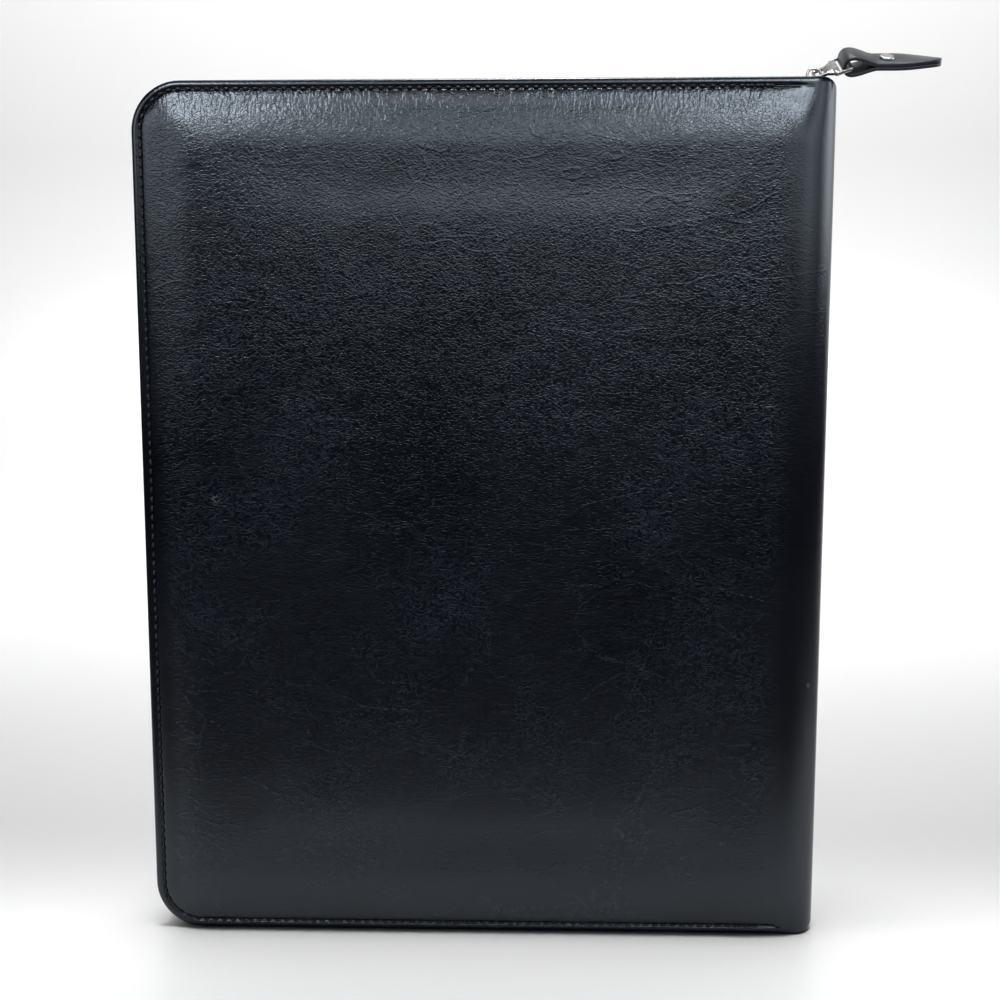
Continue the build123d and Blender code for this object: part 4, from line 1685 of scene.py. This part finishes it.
@dataclass
class PullLoop:
    """Cast loop on the slider: an eye, a short plate and a wide window for the tab."""

    bar: float = 1.2 * MM
    thickness: float = 1.3 * MM
    eye_width: float = 4.8 * MM
    eye_length: float = 4.2 * MM
    plate_length: float = 3.0 * MM
    window_width: float = 12.8 * MM
    bar_round: float = 0.42 * MM
    corner: float = 1.2 * MM
    web_corner: float = 0.6 * MM
    web_round: float = 0.35 * MM
    web_share: float = 0.98
    web_thickness: float = 1.196 * MM

    def axes(self) -> Axes:
        """Own axes: across the loop, along it and out of its face.

        Returns:
            The axes, from the loop's pivot.
        """
        pivot = np.array(joint("loop_swing")["pos_m"])
        across = np.array(joint("loop_swing")["axis"])
        along = unit(np.array(joint("tab_swing")["pos_m"]) - pivot)
        return Axes(pivot, across, along, np.cross(across, along))

    def frame_bar(self, outline: np.ndarray) -> np.ndarray:
        """Closed bar round a hole: a rounded section carried along an outline.

        Args:
            outline: Closed outline of the bar's middle.

        Returns:
            Surface of the bar.
        """
        path = np.concatenate([outline, np.zeros((len(outline), 1))], axis=-1)
        tangent = unit(np.roll(path, -1, axis=0) - np.roll(path, 1, axis=0))
        section = rounded_section(self.bar, self.thickness, self.bar_round, 3)
        return sweep(path, np.cross(tangent, UP), UP, section)

    def build(self) -> None:
        """Joins the eye, the plate and the window's frame in one mesh."""
        place = self.axes()
        length = float(np.linalg.norm(np.array(joint("tab_swing")["pos_m"]) - place.origin))
        plate_start = self.bar / 2 + self.eye_length
        plate_end = plate_start + self.plate_length
        eye = rounded_section(self.eye_width + self.bar, self.eye_length + self.bar, self.corner, 5)
        eye = eye + [0, self.bar / 2 + self.eye_length / 2]
        window_length = length - self.bar / 2 - plate_end
        window = rounded_section(self.window_width + self.bar, window_length + self.bar, self.corner, 5)
        window = window + [0, plate_end + window_length / 2]
        web = rounded_section(2.0, self.plate_length + 2 * self.bar, self.web_corner, 4)
        lift = ease((web[:, 1] / self.plate_length) + 0.5)
        half = (self.eye_width / 2 + self.bar) * (1 - lift) + (self.window_width / 2 + self.bar) * lift
        web = np.stack([np.sign(web[:, 0]) * np.minimum(np.abs(web[:, 0]), 1.0) * half * self.web_share,
                        web[:, 1] + plate_start + self.plate_length / 2], -1)
        shell = Shell("loop_casting")
        for outline in (eye, window):
            shell.add(place.place(self.frame_bar(outline)), wrap_rows=True, wrap_columns=True)
        shell.add(place.place(plate(web, self.web_thickness, self.web_round)), wrap_columns=True)
        fit(shell.build(crease=60), NICKEL, "pull_loop", "pull_metal", "pull_loop")
        LOG.info("pull loop")


@dataclass
class PullTab:
    """Leather strip folded through the loop, with its rivet."""

    width: float = 12.0 * MM
    leather: float = 1.3 * MM
    length: float = 34.0 * MM
    nose: float = 2.45 * MM
    nose_round: float = 2.2 * MM
    fold: float = 12.0 * MM
    belly: float = 2.35 * MM
    belly_peak: float = 0.325
    edge_round: float = 0.45 * MM
    seam: float = 0.2 * MM
    tip: float = 4.5 * MM
    twist: float = 16.0
    twist_gap: float = 3.0 * MM
    rivet_at: float = 14.0 * MM
    rivet_radius: float = 2.8 * MM
    rivet_height: float = 1.0 * MM

    def axes(self) -> Axes:
        """Own axes: along the tab, out of its upper face and across it.

        Returns:
            The axes, from the tab's pivot.
        """
        across = -np.array(joint("tab_swing")["axis"])
        along = np.array([1.0, 0.0, 0.0])
        return Axes(np.array(joint("tab_swing")["pos_m"]), along, np.cross(along, across), across)

    def centre_line(self) -> np.ndarray:
        """Middle of the leather from the upper tip round the fold to the lower tip.

        The upper half's height is half a leather and seam, reached in a round nose, plus a belly that grows
        as the root of the distance from the nose and dies away before the rivet; the lower half mirrors it.

        Returns:
            Points along and out of the tab.
        """
        step = np.linspace(0, 1, 46)
        reach = self.length + self.nose
        distance = reach * (0.35 * step + 0.65 * step**2.2) * step**0.35
        distance = distance * reach / distance[-1]
        share = np.clip(distance / self.fold, 0, 1)
        closed = (self.leather + self.seam) / 2
        nose = np.clip(distance / self.nose_round, 0, 1)
        belly = self.belly * np.sqrt(share) * (1 - share) ** 1.5 / self.belly_peak
        upper = np.stack([distance - self.nose, closed * np.sqrt(1 - (1 - nose) ** 2) + belly], -1)
        return np.concatenate([upper[:0:-1], upper * [1, -1]])

    def strip(self) -> bpy.types.Object:
        """Rounded section of leather carried along the middle line, with a round tip and a twist.

        Returns:
            The strip.
        """
        line = self.centre_line()
        tangent = unit(np.gradient(line, axis=0))
        normal = np.stack([-tangent[:, 1], tangent[:, 0]], -1)
        over = np.clip(line[:, 0] - (self.length - self.tip), 0, self.tip)
        half = self.width / 2 - self.tip + np.sqrt(self.tip**2 - (0.985 * over) ** 2)
        section = rounded_section(self.width, self.leather, self.edge_round, 3)
        across = section[None, :, 0] * (half / (self.width / 2))[:, None]
        along = line[:, None, 0] + section[None, :, 1] * normal[:, None, 0]
        out = line[:, None, 1] + section[None, :, 1] * normal[:, None, 1]
        beyond = (along - self.rivet_at - self.twist_gap) / (self.length - self.rivet_at)
        turn = np.radians(self.twist) * ease(beyond)
        surface = np.stack([along, out * np.cos(turn) - across * np.sin(turn),
                            out * np.sin(turn) + across * np.cos(turn)], -1)
        edge = np.broadcast_to(np.abs(section[:, 0]) / (self.width / 2), surface.shape[:2])
        edge = np.concatenate([edge[:1], edge, edge[-1:]])
        placed = self.axes().place(close_ends(surface))
        return Shell("tab_strip").add(placed, wrap_columns=True, across=edge**8).build()

    def rivet(self, upper: bool) -> bpy.types.Object:
        """Rivet head: a turned profile with a soft rim and a shallow dish round a raised middle.

        Args:
            upper: Whether it is the cap on the upper face.

        Returns:
            The rivet head.
        """
        height = self.rivet_height if upper else self.rivet_height / 2
        radius = np.array([0.0, 0.35, 0.6, 0.78, 0.92, 1.0, 1.0, 0.0]) * self.rivet_radius
        level = np.array([0.88, 0.9, 0.98, 1.0, 0.86, 0.45, -0.1, -0.1]) * height
        face = (self.leather + self.seam / 2) + level
        side = 1.0 if upper else -1.0
        head = turned(np.stack([radius, face], -1))
        local = np.stack([head[..., 0] + self.rivet_at, side * head[..., 2], head[..., 1]], -1)
        name = "rivet_cap_head" if upper else "rivet_back_head"
        return Shell(name).add(self.axes().place(local), wrap_columns=True).build(crease=60)

    def build(self) -> None:
        """Builds and dresses the strip and both rivet heads."""
        fit(self.strip(), TAB_LEATHER, "pull_tab", "tab_leather", "pull_tab")
        fit(self.rivet(True), SATIN_NICKEL, "pull_tab", "rivet_metal", "pull_rivet_cap")
        fit(self.rivet(False), SATIN_NICKEL, "pull_tab", "rivet_metal", "pull_rivet_back")
        LOG.info("pull tab and rivet")


# Inside


@dataclass
class SewnPocket:
    """Flat pocket sewn on three sides, with a turned mouth and a line of stitches."""

    node: str
    side: Side
    mouth_fall: float = 0.0
    notch: float = 0.0
    edge_round: float = 0.9 * MM
    lip: float = 7.0 * MM
    bulge: float = 0.25 * MM
    stitch_inset: float = 2.0 * MM
    sunk: float = 0.1 * MM
    seam: Seam = field(default_factory=lambda: Seam(3.2 * MM, 0.78, 0.55 * MM, 0.3 * MM))

    def levels(self) -> tuple[float, float, float]:
        """Levels of the pocket.

        Returns:
            Y of the sewn side, Y of the open face, and the sign of the way out of the face.
        """
        low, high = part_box(self.node)
        if self.side is Side.BACK:
            return low[1], high[1], 1.0
        return high[1], low[1], -1.0

    def mouth(self, x: np.ndarray) -> np.ndarray:
        """Height of the mouth over X: a straight fall towards the spine, less a round thumb notch.

        Args:
            x: Places across the pocket.

        Returns:
            One height per place.
        """
        low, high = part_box(self.node)
        share = (x - low[0]) / (high[0] - low[0])
        cut = np.sqrt(np.maximum(self.notch**2 - (x - (low[0] + high[0]) / 2) ** 2, 0.0))
        return high[2] - self.mouth_fall * share - cut

    def panel(self) -> bpy.types.Object:
        """Panel whose level rises in a quarter circle from its sewn edges, and whose mouth rolls over a lip.

        Returns:
            The panel.
        """
        low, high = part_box(self.node)
        base, face, out = self.levels()
        fine = np.array([0, 0.12, 0.35, 0.7, 1.0, 1.6, 2.6]) * self.edge_round
        width = high[0] - low[0]
        inner = np.linspace(4 * self.edge_round, width - 4 * self.edge_round, 61)
        across = np.concatenate([fine, inner, width - fine[::-1]])
        x = low[0] + across
        rise = abs(face - base)
        turn = np.radians(np.linspace(0, 180, 7))
        half = 0.35 * rise
        share = np.concatenate([np.linspace(4 * self.edge_round, 0.10 * (high[2] - low[2]), 6),
                                np.linspace(0.14, 1, 24) * (high[2] - low[2])])
        share = (share - share[0]) / (share[-1] - share[0])
        top = self.mouth(x)[None] - half
        start = low[2] + 4 * self.edge_round
        body_z = start + (top - start) * share[:, None]
        lower_z = np.broadcast_to((low[2] + fine)[:, None], (len(fine), len(x)))
        lip_z = top + half * np.sin(turn)[:, None]
        back_z = top - np.linspace(0.1, 1, 3)[:, None] * self.lip
        z = np.concatenate([lower_z, body_z, lip_z, back_z])
        side_gap = np.minimum(across, width - across)[None]
        foot_gap = np.concatenate([fine, np.full(len(z) - len(fine), width)])[:, None]
        gap = np.minimum(np.minimum(side_gap, foot_gap) / self.edge_round, 1.0)
        level = rise * np.sqrt(1 - (1 - gap) ** 2)
        puff = self.bulge * np.sin(np.pi * across / width)[None] * ease((z - low[2]) / (high[2] - low[2]))
        flat = np.zeros(len(fine) + len(share))
        drop = np.concatenate([flat, half * (1 - np.cos(turn)), np.full(len(back_z), 2 * half)])
        level = level - drop[:, None] * gap + puff * (gap >= 1.0)
        y = base + out * np.maximum(level, 0.0)
        surface = np.stack([np.broadcast_to(x, z.shape), y, z], -1)
        shell = Shell(f"{self.node}_panel").add(surface if out < 0 else surface[:, ::-1])
        return shell.build(weld=False)

    def stitches(self) -> bpy.types.Object:
        """Stitches down one side, along the foot and up the other, at equal distances on straight runs.

        Returns:
            The stitches, as one piece.
        """
        low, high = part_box(self.node)
        _, face, out = self.levels()
        left, right = low[0] + self.stitch_inset, high[0] - self.stitch_inset
        foot = low[2] + self.stitch_inset
        ends = self.mouth(np.array([left, right])) - 2 * MM
        corners = np.array([[left, ends[0]], [left, foot], [right, foot], [right, ends[1]]])
        gone = lengths_along(corners)
        distance = np.arange(self.seam.pitch, gone[-1], self.seam.pitch)
        run = np.clip(np.searchsorted(gone, distance, side="right") - 1, 0, 2)
        x, z = (np.interp(distance, gone, corners[:, axis]) for axis in (0, 1))
        places = np.stack([x, np.full(x.shape, face - out * self.sunk), z], -1)
        heading = unit(np.diff(corners, axis=0))[run]
        tangent = np.stack([heading[:, 0], 0 * distance, heading[:, 1]], -1)
        shell = Shell(f"{self.node}_stitches")
        return self.seam.along(shell, places, tangent, np.array([0.0, out, 0.0])).build()

    def build(self) -> None:
        """Builds and dresses the panel and its stitches."""
        fit(self.panel(), INNER_LEATHER, self.side.body, "inner_leatherette", self.node)
        fit(self.stitches(), BLACK_THREAD, self.side.body, "inner_leatherette")
        LOG.info("%s", self.node)


@dataclass
class WritingPad:
    """Ruled top sheet over the block of leaves, with the backing card and the binding strip."""

    margin: float = 32.0 * MM
    head: float = 38.0 * MM
    curl: float = 1.6 * MM
    curl_reach: float = 70.0 * MM
    lift: float = 0.12 * MM
    wave: float = 0.04 * MM
    inset: float = 0.3 * MM

    def build(self) -> None:
        """Dresses the block, card and binding, and lays the top sheet with one corner a little curled."""
        low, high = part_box("pad_sheets")
        SHEET_EDGES.dress(frame["nodes"]["pad_sheets"])
        CARD.dress(frame["nodes"]["pad_backing_card"])
        BINDING_CLOTH.dress(frame["nodes"]["pad_binding"])
        across, up = np.meshgrid(np.linspace(0, 1, 60), np.linspace(0, 1, 76))
        width, height = high[0] - low[0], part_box("pad_binding")[0][2] - low[2] + 2 * MM
        x = low[0] + self.inset + (width - 2 * self.inset) * across
        z = low[2] + self.inset + (height - self.inset) * up
        corner = ease(1 - np.hypot((1 - across) * width, up * height) / self.curl_reach)
        y = high[1] + self.lift + self.curl * corner**2 + self.wave * (1 + ripple(x, z, 60 * MM, 21))
        finish = Paper("ruled_top_sheet", (0.90, 0.89, 0.86), True, margin=low[0] + self.margin,
                       first_line=high[2] - self.head)
        sheet = Shell("pad_top_sheet").add(np.stack([x, y, z], -1)[:, ::-1]).build(weld=False)
        fit(sheet, finish, "back_cover", "pad_paper")
        LOG.info("writing pad")


@dataclass
class PenLoop:
    """Elastic band sewn to the lining as a loop for a pen."""

    wall: float = 1.2 * MM
    corner: float = 5.0 * MM
    pinch: float = 0.35 * MM

    def build(self) -> None:
        """Band section of height and wall carried round the loop's outline, pinched at half its height."""
        low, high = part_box("pen_loop")
        width, depth, height = high[0] - low[0], high[1] - low[1], high[2] - low[2]
        outline = rounded_section(width - self.wall, depth - self.wall, self.corner - self.wall / 2, 8)
        middle = np.array([(low[0] + high[0]) / 2, (low[1] + high[1]) / 2, (low[2] + high[2]) / 2])
        tangent = unit(np.roll(outline, -1, axis=0) - np.roll(outline, 1, axis=0))
        outward = np.stack([tangent[:, 1], -tangent[:, 0]], -1)
        up = np.linspace(-1, 1, 13)
        thick = self.wall / 2 * np.sqrt(1 - 0.75 * np.abs(up) ** 10)
        both = np.concatenate([up, up[::-1]])
        level = both * height / 2
        out = np.concatenate([thick, -thick]) - self.pinch * (1 - both**2)
        flat = outline[:, None] + out[None, :, None] * outward[:, None]
        levels = np.broadcast_to(level[None, :, None], flat.shape[:2] + (1,))
        surface = np.concatenate([flat, levels], axis=-1) + middle
        along = lengths_along(outline)[:, None]
        shell = Shell("pen_loop_band")
        shell.add(surface, wrap_rows=True, wrap_columns=True, along=along, across=level)
        fit(shell.build(crease=60), ELASTIC, "back_cover", "elastic", "pen_loop")
        LOG.info("pen loop")


# Studio


@dataclass
class SoftBox:
    """Rectangular studio light aimed at a point."""

    name: str
    place: tuple[float, float, float]
    aim: tuple[float, float, float]
    size: tuple[float, float]
    power: float
    spread: float
    daylight: Colour = (0.92, 0.96, 1.0)

    def build(self, spared: Optional[bpy.types.Object] = None) -> None:
        """Adds the light; one that is kept off an object has the colour of daylight.

        Args:
            spared: Object that the light doesn't fall on, or none.
        """
        lamp = bpy.data.lights.new(self.name, "AREA")
        lamp.shape = "RECTANGLE"
        lamp.spread = math.radians(self.spread)
        lamp.size, lamp.size_y = self.size
        lamp.energy = self.power
        light = bpy.data.objects.new(self.name, lamp)
        light.location = self.place
        light.rotation_euler = (Vector(self.aim) - Vector(self.place)).to_track_quat("-Z", "Y").to_euler()
        bpy.context.scene.collection.objects.link(light)
        if spared:
            receivers = bpy.data.collections.new(f"{self.name}_receivers")
            receivers.objects.link(spared)
            receivers.collection_objects[0].light_linking.link_state = "EXCLUDE"
            light.light_linking.receiver_collection = receivers
            lamp.color = self.daylight


COVER_LIGHTS = (
    SoftBox("brow_softbox", (-0.06, -1.05, 0.87), (-0.12, 0.03, 0.39), (1.15, 0.75), 1.05, 60),
    SoftBox("fore_softbox", (-0.6, -0.75, 0.95), (-0.26, 0.0, 0.32), (0.3, 0.3), 0.28, 40),
    SoftBox("spine_softbox", (0.25, -0.9, 0.98), (-0.03, 0.0, 0.32), (0.3, 0.3), 0.2, 40),
    SoftBox("fore_panel", (-0.91, -0.74, 0.6), (-0.24, 0.0, 0.26), (0.6, 0.4), 0.26, 60),
    SoftBox("shoulder_panel", (0.67, -0.74, 0.54), (0.0, 0.0, 0.26), (0.85, 0.4), 0.29, 60),
    SoftBox("spine_panel", (0.98, 0.03, 0.54), (0.0, 0.0, 0.26), (0.95, 0.4), 0.62, 60),
    SoftBox("edge_panel", (0.85, 0.55, 0.45), (0.0, 0.0, 0.25), (0.6, 0.5), 0.1, 60),
)
ROOM_LIGHTS = (
    SoftBox("top_softbox", (-0.13, -0.02, 0.85), (-0.13, 0.0, 0.0), (0.8, 0.24), 0.14, 34),
    SoftBox("foot_softbox", (-0.13, -0.06, 0.85), (-0.13, -0.06, 0.0), (0.9, 0.12), 0.36, 16),
    SoftBox("wall_wash", (-0.13, 0.35, 1.6), (-0.13, 1.1, 0.45), (2.2, 0.4), 16.5, 110),
    SoftBox("floor_wash", (-0.13, 0.5, 1.5), (-0.13, 0.55, 0.0), (2.2, 0.5), 1.7, 70),
)


@dataclass
class Studio:
    """Camera at the photograph's viewpoint, pale floor that sweeps up behind, and soft lights."""

    picture: float = 1000.0
    focal_pixels: float = 1200.0
    sensor: float = 36.0
    eye: tuple[float, float, float] = (-114.2 * MM, -474.4 * MM, 229.7 * MM)
    pitch: float = 6.6
    heading: float = -1.58
    floor_half: float = 4.0
    wall_distance: float = 1.1
    cove: float = 0.5
    wall_height: float = 2.2
    air: float = 0.012

    def camera(self) -> None:
        """Camera whose view is turned by the heading from +Y and down by the pitch."""
        lens = bpy.data.cameras.new("photo_camera")
        lens.sensor_width = self.sensor
        lens.lens = self.sensor * self.focal_pixels / self.picture
        lens.clip_start = 0.01
        view = bpy.data.objects.new("photo_camera", lens)
        pitch, heading = math.radians(self.pitch), math.radians(self.heading)
        level = math.cos(pitch)
        gaze = Vector((math.sin(heading) * level, math.cos(heading) * level, -math.sin(pitch)))
        view.location = self.eye
        view.rotation_euler = gaze.to_track_quat("-Z", "Y").to_euler()
        bpy.context.scene.collection.objects.link(view)
        bpy.context.scene.camera = view

    def backdrop(self) -> bpy.types.Object:
        """Floor that turns up through a quarter circle into the wall, carried along the width.

        Returns:
            The floor.
        """
        turn = np.radians(np.linspace(-90, 0, 24))
        bend_y = self.wall_distance - self.cove
        arc = np.stack([bend_y + self.cove * np.cos(turn), self.cove + self.cove * np.sin(turn)], -1)
        profile = np.concatenate([[[-self.floor_half, 0.0]], arc, [[self.wall_distance, self.wall_height]]])
        width = np.linspace(-self.floor_half, self.floor_half, 5)
        surface = np.empty((len(width), len(profile), 3))
        surface[..., 0] = width[:, None]
        surface[..., 1:] = profile
        surface[..., 2] += CAD_BOX[0][2]
        floor = FLOOR_PAINT.dress(Shell("studio_floor").add(surface[::-1]).build(weld=False))
        return floor

    def build(self) -> None:
        """Sets camera, floor, lights and the dim surrounding air."""
        self.camera()
        floor = self.backdrop()
        for box in COVER_LIGHTS:
            box.build(floor)
        for box in ROOM_LIGHTS:
            box.build()
        bpy.context.scene.view_settings.view_transform = "Standard"
        world = bpy.data.worlds.new("studio_air")
        bpy.context.scene.world = world
        world.use_nodes = True
        surround = world.node_tree.nodes["Background"]
        surround.inputs["Color"].default_value = (1.0, 1.0, 1.0, 1.0)
        surround.inputs["Strength"].default_value = self.air
        LOG.info("studio")


def main() -> None:
    """Builds the studio and every piece in order."""
    logging.basicConfig(level=logging.INFO, format="%(name)s: %(message)s")
    Studio().build()
    settled = CoverLeather(Side.BACK).settled()
    CoverLeather(Side.BACK).build(settled)
    CoverLeather(Side.FRONT).build((settled[0], settled[1], settled[2][::-1]))
    SpineLayer("spine_leather", "spine_skin", "cover_leatherette", COVER_LEATHER, depth=0.0, thickness=SKIN,
               end_inset=0.0, end_drop=2.2 * MM, end_roll=2.6 * MM).build()
    SpineLayer("spine_sheet", "spine_stiffener", "stiffener", STIFFENER, depth=SKIN, thickness=SPINE_SHEET,
               end_inset=12 * MM).build()
    SpineLayer("spine_cloth", "spine_lining", "lining", LINING_CLOTH, depth=SKIN + SPINE_SHEET,
               thickness=0.6 * MM, end_inset=4 * MM).build()
    for side in Side:
        CoverLining(side).build()
    ZipChain(Side.BACK, top_end=SEAM_X, first_tooth=2.2 * MM).build()
    ZipChain(Side.FRONT, top_end=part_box("zip_slider")[0][0] - 1.5 * MM, first_tooth=3.9 * MM).build()
    Slider().build()
    PullLoop().build()
    PullTab().build()
    SewnPocket("pad_sleeve", Side.BACK).build()
    SewnPocket("document_pocket", Side.FRONT, mouth_fall=57 * MM).build()
    for number in (1, 2, 3):
        SewnPocket(f"card_pocket_{number}", Side.FRONT, notch=9 * MM).build()
    WritingPad().build()
    PenLoop().build()


if __name__ == "__main__":
    main()
